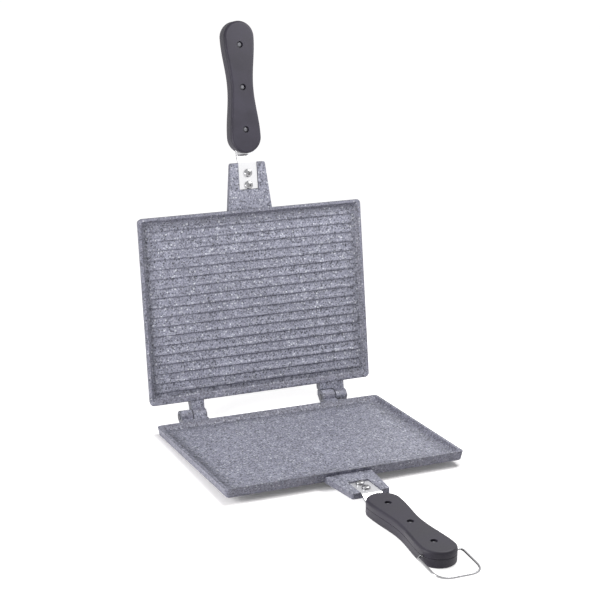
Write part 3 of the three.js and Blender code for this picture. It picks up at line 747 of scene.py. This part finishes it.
def with_painted_shade(mesh, s, at):
    """A casting's mesh with its faces' painted light levels and its points' places noted for the
    finish.

    The levels paint shade into the coating's colour. The tray is fully lit, apart from the ribs'
    sides that look to the hinge, which are painted darker the nearer they are to it, standing in
    for the shade under each rib. Outside the tray a face is painted darker where it is steep,
    standing in for the shade on the walls, and the knuckles' ends and the rounded edges of the rim
    are painted darkest, standing in for the shade between the knuckles and the dark reflection on
    the rim's edges.
    """
    values = []
    for face in mesh.polygons:
        reach = max(abs(face.center.x) - s.pan.width / 2, abs(face.center.y) - s.pan.length / 2)
        if reach >= -at.tray_inset:
            # Painted shade: outside the tray a face is painted darker the steeper it is
            value = max(face.normal.z, STEEP_PAINTED_LIGHT)
        # Painted shade: a rib's side that looks to the hinge is painted darker the nearer it is to
        # the hinge
        elif face.normal.y > LOOKS_TO_HINGE:
            value = RIB_SIDE_PAINTED_LIGHT - RIB_SIDE_PAINTED_SHADE_GAIN * (face.center.y / s.pan.length + 0.5)
        else:
            value = 1
        # Painted shade: the rim is painted a little darker
        if -s.pan.rim_width <= reach < 0:
            value = min(value, RIM_PAINTED_LIGHT)
        # Painted shade: the knuckles' ends, for the shade between the knuckles, and the rim's
        # rounded edges, for their dark reflection, are painted darkest
        knuckle_end = face.center.y > s.pan.length / 2 and abs(face.normal.x) > LOOKS_ASIDE
        if knuckle_end or -s.pan.rim_edge < reach < 0 and 0 < face.normal.z < LOOKS_UP:
            value = 0
        values.append(value)
    places = mesh.attributes.new("place", "FLOAT_VECTOR", "POINT")
    places.data.foreach_set("vector", [number for vertex in mesh.vertices for number in vertex.co])
    return noted(mesh, "spray", values)


def domed_end(radius, height, base, direction):
    """(radius, z) points of a low dome from its edge to its crown."""
    points = []
    for step in range(DOME_STEPS):
        angle = step / DOME_STEPS * math.pi / 2
        points.append((radius * math.cos(angle), base + direction * height * math.sin(angle)))
    return points


def hinge_rod_solid(s):
    """A hinge rod about Z with a domed head at each end, its start between the knuckles."""
    hinge = s.hinge
    below = -(hinge.inner_knuckle_width + hinge.knuckle_gap / 2 + s.strip.seat_gap)
    above = hinge.outer_knuckle_width + hinge.knuckle_gap / 2 + s.strip.seat_gap
    lip = hinge.rod_head_height / 3
    dome = hinge.rod_head_height - lip
    low = domed_end(hinge.rod_head_radius, dome, below - lip, -1)
    high = domed_end(hinge.rod_head_radius, dome, above + lip, 1)
    return turned([
        (0, below - lip - dome),
        *low[::-1],
        (hinge.rod_head_radius, below),
        (hinge.rod_radius, below),
        (hinge.rod_radius, above),
        (hinge.rod_head_radius, above),
        *high,
        (0, above + lip + dome),
    ])


# Strips and screws

def strip_solid(s, at):
    """The steel strip: on the bracket, cranked down past it, then along the handle's middle."""
    def on_handle(out, height):
        point = at.on_casting @ Vector((0, -out, height))
        return (point.y, point.z)

    strip = s.strip
    under = at.strip_in_handle - strip.thickness
    far_out = s.handle.rivet_shares[-1] * s.handle.length + strip.tail
    high = (at.bracket_end_y - strip.bend_inset, at.strip_top)
    low = on_handle(-strip.bend_inset, at.strip_in_handle)
    fall = math.atan2(high[1] - low[1], high[0] - low[0])
    first = strip.thickness * math.tan(fall / 2)
    second = strip.thickness * math.tan((fall - s.handle.slope) / 2)
    tight, wide = strip.bend_radius, strip.bend_radius + strip.thickness
    outline = filleted([
        (at.strip_start_y, at.strip_top, strip.edge),
        (*high, wide),
        (*low, tight),
        (*on_handle(far_out, at.strip_in_handle), 0),
        (*on_handle(far_out, under), 0),
        (*on_handle(-strip.bend_inset - second, under), wide),
        (high[0] + first, at.strip_top - strip.thickness, tight),
        (at.strip_start_y, at.strip_top - strip.thickness, strip.edge),
    ])
    steel = side_prism(outline, -strip.width / 2, strip.width / 2, strip.edge)
    reach = s.handle.thickness / 2
    screw_radius = s.screw.radius + s.screw.hole_clearance
    rivet_radius = s.handle.rivet_radius + s.screw.hole_clearance
    holes = [
        rod(screw_radius, -reach, reach, Matrix.Translation((0, y, at.strip_top)))
        for y in at.screws
    ]
    for share in s.handle.rivet_shares:
        middle = Matrix.Translation((0, -share * s.handle.length, -reach))
        holes.append(rod(rivet_radius, -reach, reach, at.on_casting @ middle))
    steel = less(steel, holes)
    cuts = [float(abs(face.normal.x) > LOOKS_FULLY_ASIDE) for face in steel.polygons]
    return noted(steel, "cut", cuts)


def screw_solid(s, at):
    """A cross-head screw about Z, its head's underside at z = 0."""
    screw = s.screw
    length = at.strip_top + s.strip.seat_gap + s.pan.depth - screw.tip_inset
    lip = screw.head_height * SCREW_LIP
    chamfer = screw.radius / 5
    body = turned([
        (0, -length),
        (screw.radius - chamfer, -length),
        (screw.radius, chamfer - length),
        (screw.radius, 0),
        (screw.head_radius - chamfer / 2, 0),
        (screw.head_radius, chamfer / 2),
        *domed_end(screw.head_radius, screw.head_height - lip, lip, 1),
        (0, screw.head_height),
    ])
    bottom = (CROSS_FLOOR, screw.head_height - screw.slot_depth)
    top = (1, screw.head_height + OVERRUN / 4)
    rings = []
    for share, z in (bottom, top):
        long, wide = share * screw.slot_length / 2, (share + 1) / 2 * screw.slot_width / 2
        arm = [Vector((long, -wide)), Vector((long, wide)), Vector((wide, wide))]
        turns = [Matrix.Rotation(quarter * math.pi / 2, 2) for quarter in range(4)]
        rings.append(lifted([turn @ point for turn in turns for point in arm], z))
    return combine(body, skin(rings), "DIFFERENCE")


# Handles, rivets and ring

def handle_outline(s):
    """The handle's outline from above: round ends and a waist, from y = 0 to minus its length."""
    end, waist = s.handle.end_width / 2, s.handle.waist_width / 2
    near, far = -end, end - s.handle.length
    points = []
    for centre, start, sign, target in ((near, 0, -1, far), (far, math.pi, 1, near)):
        for step in range(HANDLE_CAP_STEPS):
            angle = start + step / HANDLE_CAP_STEPS * math.pi
            points.append(Vector((end * math.cos(angle), centre + end * math.sin(angle))))
        for step in range(HANDLE_SIDE_STEPS):
            share = step / HANDLE_SIDE_STEPS
            half = waist + (end - waist) * (1 + math.cos(share * 2 * math.pi)) / 2
            points.append(Vector((sign * half, centre + (target - centre) * share)))
    return points


def rivet_cutter(s, share):
    """What a rivet takes out of a handle: its bore and a well with a soft mouth at each face."""
    handle = s.handle
    bore = handle.rivet_radius + s.screw.hole_clearance
    well, mouth = handle.well_radius, handle.well_mouth
    top = [
        (bore, -handle.well_depth),
        (well, -handle.well_depth),
        (well, -mouth),
        (well + mouth / 3, -mouth / 3),
        (well + mouth, 0),
        (well + mouth, OVERRUN),
        (0, OVERRUN),
    ]
    bottom = [(radius, -handle.thickness - z) for radius, z in top[::-1]]
    return turned(bottom + top, Matrix.Translation((0, -share * handle.length, 0)))


def handle_halves(s, at, with_ring):
    """The inner and the outer half of a handle, its inner face at z = 0."""
    handle = s.handle
    outline = handle_outline(s)
    edge, split_edge = handle.edge, handle.split_edge
    inner = soft_prism(outline, at.inner_half_face, 0, split_edge, edge)
    outer = soft_prism(outline, -handle.thickness, at.outer_half_face, edge, split_edge)
    half = s.strip.width / 2 + s.strip.seat_gap
    end = handle.rivet_shares[-1] * handle.length + s.strip.tail + s.strip.seat_gap
    floor = at.strip_in_handle - s.strip.thickness - s.strip.seat_gap
    pocket = box((-half, -end, floor), (half, OVERRUN, at.outer_half_face + OVERRUN))
    outer = combine(outer, pocket, "DIFFERENCE")
    halves = []
    for mesh in (inner, outer):
        cutters = [rivet_cutter(s, share) for share in handle.rivet_shares]
        if with_ring:
            side = handle.end_width / 2
            radius = s.ring.wire_radius + s.ring.hole_clearance
            axis = along_x(at.ring_pivot_y, at.ring_pivot_z)
            cutters.append(rod(radius, side - s.ring.hole_depth, side + OVERRUN, axis))
            cutters.append(rod(radius, -side - OVERRUN, s.ring.hole_depth - side, axis))
        halves.append(less(mesh, cutters))
    return halves


def rivet_solid(s):
    """A rivet about Z, domed and centre-punched at both ends, its middle at z = 0."""
    handle = s.handle
    head_radius = handle.rivet_head_radius
    seat = handle.thickness / 2 - handle.well_depth + s.strip.seat_gap / 2
    lip = handle.rivet_head_height / 4
    crown = handle.rivet_head_height - lip
    punch = head_radius / 3
    dome = domed_end(head_radius, crown, seat + lip, 1)
    half = [
        (handle.rivet_radius, seat),
        (head_radius, seat),
        *(point for point in dome if point[0] > punch),
        (punch, seat + lip + crown),
        (0, seat + lip + crown - punch / 2),
    ]
    return turned([(radius, -z) for radius, z in half[::-1]] + half)


def ring_solid(s):
    """The wire ring, flat in its XY plane, its pivot on the X axis and its cross wire at -Y."""
    ring = s.ring
    side = s.handle.end_width / 2
    leg = side + ring.side_gap + ring.wire_radius
    half = [Vector((side - ring.hole_depth + ring.wire_radius, 0))]
    foot, corner = Vector((leg, 0)), Vector((leg, -ring.reach))
    in_x, in_y = Vector((-1, 0)), Vector((0, 1))
    for bend, length, back, on in (
        (foot, ring.foot_bend, in_x, -in_y),
        (corner, ring.corner, in_y, in_x),
    ):
        before, after = bend + back * length, bend + on * length
        for step in range(BEND_STEPS + 1):
            t = step / BEND_STEPS
            half.append(before * (1 - t) ** 2 + bend * 2 * t * (1 - t) + after * t ** 2)
    path = half + [Vector((-point.x, point.y)) for point in half[::-1]]
    rings = []
    for i, here in enumerate(path):
        along = path[min(i + 1, len(path) - 1)] - path[max(i - 1, 0)]
        across = Vector((along.y, -along.x, 0)).normalized()
        wire = []
        for k in range(WIRE_SIDES):
            angle = 2 * math.pi * k / WIRE_SIDES
            up = Vector((0, 0, ring.wire_radius * math.sin(angle)))
            wire.append(here.to_3d() + across * ring.wire_radius * math.cos(angle) + up)
        rings.append(wire)
    return skin(rings)


# Finishes

def add(tree, kind, inputs=None, **settings):
    """A node with its settings, and its inputs set to values or linked to outputs."""
    made = tree.nodes.new(kind)
    for key, value in settings.items():
        setattr(made, key, value)
    for key, value in (inputs or {}).items():
        if isinstance(value, bpy.types.NodeSocket):
            tree.links.new(value, made.inputs[key])
        else:
            made.inputs[key].default_value = value
    return made


def reckoned(tree, operation, *values):
    """The result of a sum on numbers."""
    inputs = dict(enumerate(values))
    return add(tree, "ShaderNodeMath", inputs, operation=operation).outputs[0]


def vector_reckoned(tree, operation, *values):
    """The result of a sum on vectors."""
    inputs = dict(enumerate(values))
    made = add(tree, "ShaderNodeVectorMath", inputs, operation=operation)
    return made.outputs["Value" if operation == "LENGTH" else "Vector"]


def attribute(tree, name, output="Fac"):
    """What was noted on a mesh under a name."""
    return add(tree, "ShaderNodeAttribute", attribute_name=name).outputs[output]


def empty_tree(owner):
    """The nodes of a material or a world, with none made yet."""
    owner.use_nodes = True
    owner.node_tree.nodes.clear()
    return owner.node_tree


def new_finish(name):
    """A material with one shader, and where its pattern is measured from."""
    material = bpy.data.materials.new(name)
    tree = empty_tree(material)
    shader = add(tree, "ShaderNodeBsdfPrincipled")
    add(tree, "ShaderNodeOutputMaterial", {"Surface": shader.outputs["BSDF"]})
    where = add(tree, "ShaderNodeTexCoord").outputs["Object"]
    return material, tree, shader, where


def noise(tree, where, size, detail, roughness=0.5):
    """Noise whose features are about as large as size."""
    inputs = {"Vector": where, "Scale": 1 / size, "Detail": detail, "Roughness": roughness}
    return add(tree, "ShaderNodeTexNoise", inputs).outputs["Fac"]


def ramp(tree, factor, stops):
    """Colours along a factor."""
    made = add(tree, "ShaderNodeValToRGB", {"Fac": factor})
    elements = made.color_ramp.elements
    while len(elements) < len(stops):
        elements.new(1)
    for element, (position, colour) in zip(elements, stops):
        element.position = position
        element.color = (*colour, 1)
    return made.outputs["Color"]


def greys(tree, factor, stops):
    """Greys along a factor."""
    return ramp(tree, factor, [(position, (level,) * 3) for position, level in stops])


def spread(tree, value, low, high, to_low, to_high):
    """A value's range stretched to another range, and held inside it."""
    inputs = {0: value, 1: low, 2: high, 3: to_low, 4: to_high}
    return add(tree, "ShaderNodeMapRange", inputs).outputs[0]


def mixed(tree, factor, first, second, blend="MIX"):
    """Two colours mixed."""
    inputs = {"Factor": factor, 6: first, 7: second}
    return add(tree, "ShaderNodeMix", inputs, data_type="RGBA", blend_type=blend).outputs[2]


def shaded(tree, colour, shade, share=1):
    """A colour multiplied by a shade, wholly or in part."""
    return mixed(tree, share, colour, shade, "MULTIPLY")


def bump(tree, shader, height, depth, strength):
    """Relief on a shader."""
    made = add(tree, "ShaderNodeBump", {"Height": height, "Distance": depth, "Strength": strength})
    tree.links.new(made.outputs["Normal"], shader.inputs["Normal"])


def beyond(tree, where, half_x, half_y):
    """How far a place lies outside a rectangle round the origin, along each axis."""
    away = vector_reckoned(tree, "ABSOLUTE", where)
    return vector_reckoned(tree, "SUBTRACT", away, (half_x, half_y, 0))


def painted_tray_shade(tree, s):
    """Painted shade that comes down softly towards the tray's wall, standing in for the shade in
    the tray's crease.
    """
    place_on_pan = attribute(tree, "place", "Vector")
    away = beyond(tree, place_on_pan, s.pan.width / 2, s.pan.length / 2)
    parts = add(tree, "ShaderNodeSeparateXYZ", {0: away}).outputs
    reach = reckoned(tree, "MAXIMUM", parts[0], parts[1])
    border = PAINTED_BORDER_WIDTHS * (s.pan.rim_width + s.pan.tray_wall_run)
    return greys(tree, spread(tree, reach, -border, 0, 0, 1), PAINTED_BORDER_LEVELS)


def granite_finish(s):
    """Satin stone-look coating: fine grey grain, white flecks, dark specks, faint clouds, and
    painted shade on steep faces and along the tray's border.
    """
    f = s.finish
    material, tree, shader, where = new_finish("granite coating")
    grain = noise(tree, where, f.grain_size, detail=3, roughness=0.7)
    colours = (f.coat_dark, f.coat_middle, f.coat_middle, f.coat_pale)
    colour = ramp(tree, grain, list(zip(GRAIN_BANDS, colours)))
    cells = add(tree, "ShaderNodeTexVoronoi", {"Vector": where, "Scale": 1 / f.fleck_size})
    own = add(tree, "ShaderNodeSeparateColor", {"Color": cells.outputs["Color"]}).outputs
    near = spread(tree, cells.outputs["Distance"], *FLECK_EDGE, 1, 0)
    for chosen, tone in ((own[0], f.coat_fleck), (own[1], f.coat_dark)):
        picked = reckoned(tree, "GREATER_THAN", chosen, FLECKLESS)
        mask = reckoned(tree, "MULTIPLY", near, picked)
        colour = mixed(tree, mask, colour, (*tone, 1))
    for grains, least in COAT_CLOUDS:
        clouds = noise(tree, where, grains * f.grain_size, detail=2)
        colour = shaded(tree, colour, greys(tree, clouds, [(0.3, least), (0.7, 1)]))
    # Painted shade: faces with a lower painted light level get less grain and are darkened,
    # standing in for the shade on walls, rim, rim edges, knuckle ends and ribs' sides
    painted_light = attribute(tree, "spray")
    plain_share = spread(tree, painted_light, low=0.3, high=0.98, to_low=0.3, to_high=0)
    colour = mixed(tree, plain_share, colour, (*f.coat_middle, 1))
    colour = shaded(tree, colour, ramp(tree, painted_light, PAINTED_SHADE_RAMP))
    # Painted shade along the tray's border, on the tray's fully lit faces only
    level = spread(tree, painted_light, low=0.85, high=0.95, to_low=0, to_high=1)
    colour = shaded(tree, colour, painted_tray_shade(tree, s), level)
    tree.links.new(colour, shader.inputs["Base Color"])
    rough = spread(tree, grain, low=0.35, high=0.65, to_low=0.62, to_high=0.46)
    tree.links.new(rough, shader.inputs["Roughness"])
    bump(tree, shader, grain, depth=0.25 * f.grain_size, strength=0.35)
    return material


def resin_finish(f):
    """Dark moulded resin: a fine matt skin with faint paler clouds."""
    material, tree, shader, where = new_finish("handle resin")
    clouds = noise(tree, where, size=18 * MM, detail=4)
    colour = ramp(tree, clouds, [(0.35, f.resin), (0.7, f.resin_pale)])
    tree.links.new(colour, shader.inputs["Base Color"])
    skin_grain = noise(tree, where, size=0.45 * MM, detail=2)
    rough = spread(tree, clouds, low=0.3, high=0.7, to_low=0.42, to_high=0.54)
    tree.links.new(rough, shader.inputs["Roughness"])
    shader.inputs["Specular IOR Level"].default_value = 0.32
    bump(tree, shader, skin_grain, depth=0.06 * MM, strength=0.4)
    return material


def metal_finish(name, colour, roughness, spacing, scales, depth):
    """Metal with fine rolling or drawing lines along one direction, darker where it was cut."""
    material, tree, shader, where = new_finish(name)
    lines_at = vector_reckoned(tree, "MULTIPLY", where, scales)
    lines = noise(tree, lines_at, spacing, detail=3, roughness=0.6)
    dim = [LINE_LEVEL * channel for channel in colour]
    shade = ramp(tree, attribute(tree, "cut"), [(0, (1, 1, 1)), (1, CUT_LEVEL)])
    toned = shaded(tree, ramp(tree, lines, [(0.3, dim), (0.7, colour)]), shade)
    tree.links.new(toned, shader.inputs["Base Color"])
    shader.inputs["Metallic"].default_value = 1
    rough = spread(tree, lines, 0.3, 0.7, to_low=roughness * 1.25, to_high=roughness * 0.8)
    tree.links.new(rough, shader.inputs["Roughness"])
    bump(tree, shader, lines, depth, strength=0.3)
    return material


def finish(name, s):
    """The named finish, made once."""
    known = bpy.data.materials.get(name)
    if known:
        return known
    if name == "granite coating":
        return granite_finish(s)
    if name == "handle resin":
        return resin_finish(s.finish)
    colour, *lines = METALS[name]
    return metal_finish(name, getattr(s.finish, colour), *lines)


# Operators

class TOASTER_OT_castings(bpy.types.Operator):
    """Make the lower and the upper casting, each with its bracket, knuckles, pad and stop"""
    bl_idname = "toaster.castings"
    bl_label = "Castings"

    def execute(self, context):
        s = context.scene.toaster
        at = layout(s)
        for side, ribbed in (("lower", False), ("upper", True)):
            place(
                f"{side}_casting", with_painted_shade(casting_solid(s, at, ribbed), s, at), at.casting[side],
                finish("granite coating", s), f"{side}_pan", side,
            )
        return {"FINISHED"}


class TOASTER_OT_hinge_rods(bpy.types.Operator):
    """Make the two hinge rods"""
    bl_idname = "toaster.hinge_rods"
    bl_label = "Hinge rods"

    def execute(self, context):
        s = context.scene.toaster
        at = layout(s)
        for side, sign in (("left", -1), ("right", 1)):
            middle = Matrix.Translation((sign * at.hinge_x, at.axis_y, at.axis_z))
            place(
                f"hinge_rod_{side}", hinge_rod_solid(s),
                at.casting["lower"] @ middle @ Matrix.Rotation(sign * math.pi / 2, 4, "Y"),
                finish("dull metal", s), f"hinge_pin_{side}", "lower",
            )
        return {"FINISHED"}


class TOASTER_OT_strips(bpy.types.Operator):
    """Make the two steel strips that hold the handles"""
    bl_idname = "toaster.strips"
    bl_label = "Steel strips"

    def execute(self, context):
        s = context.scene.toaster
        at = layout(s)
        for side in ("lower", "upper"):
            place(
                f"{side}_strip", strip_solid(s, at), at.casting[side],
                finish("rolled steel", s), f"{side}_tang", side,
            )
        return {"FINISHED"}


class TOASTER_OT_strip_screws(bpy.types.Operator):
    """Make the four cross-head screws"""
    bl_idname = "toaster.strip_screws"
    bl_label = "Strip screws"

    def execute(self, context):
        s = context.scene.toaster
        at = layout(s)
        turns = (20, 65, 50, 5)  # of the crosses, in degrees
        for side, own_turns in (("lower", turns[:2]), ("upper", turns[2:])):
            for i, (y, turn) in enumerate(zip(at.screws, own_turns), 1):
                seat = Matrix.Translation((0, y, at.strip_top + s.strip.seat_gap))
                place(
                    f"{side}_strip_screw_{i}", screw_solid(s, at),
                    at.casting[side] @ seat @ Matrix.Rotation(math.radians(turn), 4, "Z"),
                    finish("plated steel", s), f"{side}_tang_screw_{i}", side,
                )
        return {"FINISHED"}


class TOASTER_OT_handles(bpy.types.Operator):
    """Make both halves of both handles"""
    bl_idname = "toaster.handles"
    bl_label = "Handles"

    def execute(self, context):
        s = context.scene.toaster
        at = layout(s)
        for side in ("lower", "upper"):
            for half, mesh in zip(("inner", "outer"), handle_halves(s, at, side == "lower")):
                place(
                    f"{side}_grip_{half}", mesh, at.handle[side], finish("handle resin", s),
                    f"{side}_handle_{half}_half", side,
                )
        return {"FINISHED"}


class TOASTER_OT_rivets(bpy.types.Operator):
    """Make the three rivets of each handle"""
    bl_idname = "toaster.rivets"
    bl_label = "Rivets"

    def execute(self, context):
        s = context.scene.toaster
        at = layout(s)
        for side in ("lower", "upper"):
            for i, share in enumerate(s.handle.rivet_shares, 1):
                middle = Matrix.Translation((0, -share * s.handle.length, -s.handle.thickness / 2))
                place(
                    f"{side}_rivet_{i}", rivet_solid(s), at.handle[side] @ middle,
                    finish("dull metal", s), f"{side}_handle_rivet_{i}", side,
                )
        return {"FINISHED"}


class TOASTER_OT_ring(bpy.types.Operator):
    """Make the wire ring that locks the shut handles"""
    bl_idname = "toaster.ring"
    bl_label = "Locking ring"

    def execute(self, context):
        s = context.scene.toaster
        at = layout(s)
        place(
            "locking_ring", ring_solid(s), at.ring,
            finish("plated steel", s), "latch_ring", "ring",
        )
        return {"FINISHED"}


def seen_or_reflected(tree):
    """1 for rays from the camera and for those that a mirror or glass passes on."""
    path = add(tree, "ShaderNodeLightPath").outputs
    either = reckoned(tree, "MAXIMUM", path["Is Camera Ray"], path["Is Glossy Ray"])
    return reckoned(tree, "MAXIMUM", either, path["Is Transmission Ray"])


def add_lamp(name, power, middle, size, target):
    """A round soft lamp that faces a point."""
    lamp = bpy.data.lights.new(name, "AREA")
    lamp.energy = power
    lamp.shape = "DISK"
    lamp.size = size
    piece = new_object(name, lamp)
    piece.location = middle
    piece.rotation_euler = (Vector(middle) - Vector(target)).to_track_quat("Z", "Y").to_euler()


def add_camera(stage):
    """The camera, placed and turned as the fitted view."""
    data = bpy.data.cameras.new("camera")
    data.lens = stage.camera_lens
    data.sensor_width = SENSOR_WIDTH
    data.clip_end = FARTHEST_SEEN
    turn = (
        Matrix.Rotation(-stage.camera_azimuth, 4, "Z")
        @ Matrix.Rotation(math.pi / 2 - stage.camera_elevation, 4, "X")
        @ Matrix.Rotation(stage.camera_roll, 4, "Z")
    )
    camera = new_object("camera", data)
    camera.matrix_world = Matrix.Translation(stage.camera_place) @ turn
    bpy.context.scene.camera = camera


def floor_finish(s):
    """White where it is seen, apart from the shadow, and grey where it throws light back."""
    stage = s.stage
    material = bpy.data.materials.new("floor")
    tree = empty_tree(material)
    seen = add(tree, "ShaderNodeBsdfDiffuse", {"Color": (*stage.floor_seen, 1)})
    bounce = add(tree, "ShaderNodeBsdfDiffuse", {"Color": (*stage.floor_bounce, 1)})
    where = add(tree, "ShaderNodeTexCoord").outputs["Object"]
    away = beyond(tree, where, s.pan.width / 2, s.pan.length / 2)
    away = vector_reckoned(tree, "MAXIMUM", away, (0, 0, 0))
    away = vector_reckoned(tree, "MULTIPLY", away, (1, 1, 0))
    away = vector_reckoned(tree, "LENGTH", away)
    near_glow = stage.near_glow * stage.floor_glow
    glow = spread(tree, away, 0, stage.shadow_reach, near_glow, stage.floor_glow)
    white = add(tree, "ShaderNodeEmission", {"Color": WHITE, "Strength": glow})
    shown = add(tree, "ShaderNodeAddShader", {0: seen.outputs[0], 1: white.outputs[0]})
    inputs = {0: seen_or_reflected(tree), 1: bounce.outputs[0], 2: shown.outputs[0]}
    both = add(tree, "ShaderNodeMixShader", inputs)
    add(tree, "ShaderNodeOutputMaterial", {"Surface": both.outputs[0]})
    return material


def add_floor(s, at):
    """The pale floor, through the pan's heel and the lowest point of the lower handle."""
    grip = bpy.data.objects.get("lower_grip_outer")
    if grip is None:
        raise RuntimeError("the stage needs the handles first")
    heel = at.rim_back - s.pan.wall_draft - s.pan.foot_radius
    fall = max(-vertex.co.z / (heel - vertex.co.y) for vertex in grip.data.vertices)
    half = s.stage.floor_size / 2
    corners = ((-half, -half), (half, -half), (half, half), (-half, half))
    mesh = bpy.data.meshes.new("floor")
    mesh.from_pydata([(x, y, (y - heel) * fall) for x, y in corners], [], [(0, 1, 2, 3)])
    mesh.materials.append(floor_finish(s))
    new_object("floor", mesh)


def add_sky(stage):
    """An even soft light from all round that is seen as white."""
    world = bpy.data.worlds.new("sky")
    tree = empty_tree(world)
    soft = add(tree, "ShaderNodeBackground", {"Color": WHITE, "Strength": stage.sky_strength})
    white = add(tree, "ShaderNodeBackground", {"Color": WHITE, "Strength": 1})
    inputs = {0: seen_or_reflected(tree), 1: soft.outputs[0], 2: white.outputs[0]}
    both = add(tree, "ShaderNodeMixShader", inputs)
    add(tree, "ShaderNodeOutputWorld", {"Surface": both.outputs[0]})
    bpy.context.scene.world = world


class TOASTER_OT_stage(bpy.types.Operator):
    """Make the floor, the soft light and the camera"""
    bl_idname = "toaster.stage"
    bl_label = "Stage"

    def execute(self, context):
        s = context.scene.toaster
        stage = s.stage
        add_camera(stage)
        add_floor(s, layout(s))
        add_sky(stage)
        add_lamp("key", stage.key_power, stage.key_place, stage.lamp_size, stage.lamp_target)
        add_lamp("side", stage.side_power, stage.side_place, stage.lamp_size, stage.lamp_target)
        context.scene.view_settings.view_transform = "Standard"
        return {"FINISHED"}


PIECES = (
    TOASTER_OT_castings,
    TOASTER_OT_hinge_rods,
    TOASTER_OT_strips,
    TOASTER_OT_strip_screws,
    TOASTER_OT_handles,
    TOASTER_OT_rivets,
    TOASTER_OT_ring,
    TOASTER_OT_stage,
)


class TOASTER_PT_pieces(bpy.types.Panel):
    """The pieces of the toaster and its stage"""
    bl_label = "Sandwich toaster"
    bl_idname = "TOASTER_PT_pieces"
    bl_space_type = "VIEW_3D"
    bl_region_type = "UI"
    bl_category = "Toaster"

    def draw(self, context):
        for piece in PIECES:
            self.layout.operator(piece.bl_idname)
        settings = context.scene.toaster
        for key in ToasterSettings.__annotations__:
            group = getattr(settings, key)
            column = self.layout.column(align=True)
            column.label(text=settings.bl_rna.properties[key].name)
            for size in type(group).__annotations__:
                column.prop(group, size)


SETTINGS = (
    ToasterPanSizes,
    ToasterRibSizes,
    ToasterHingeSizes,
    ToasterBracketSizes,
    ToasterStripSizes,
    ToasterScrewSizes,
    ToasterHandleSizes,
    ToasterRingSizes,
    ToasterFinishes,
    ToasterStage,
    ToasterSettings,
)
CLASSES = (*SETTINGS, *PIECES, TOASTER_PT_pieces)


def register():
    for cls in CLASSES:
        bpy.utils.register_class(cls)
    bpy.types.Scene.toaster = PointerProperty(
        type=ToasterSettings, name="Toaster",
        description="Sizes, finishes and stage of the toaster")


def unregister():
    del bpy.types.Scene.toaster
    for cls in reversed(CLASSES):
        bpy.utils.unregister_class(cls)


def main():
    register()
    for piece in PIECES:
        getattr(bpy.ops.toaster, piece.bl_idname.split(".")[1])()


if __name__ == "__main__":
    main()
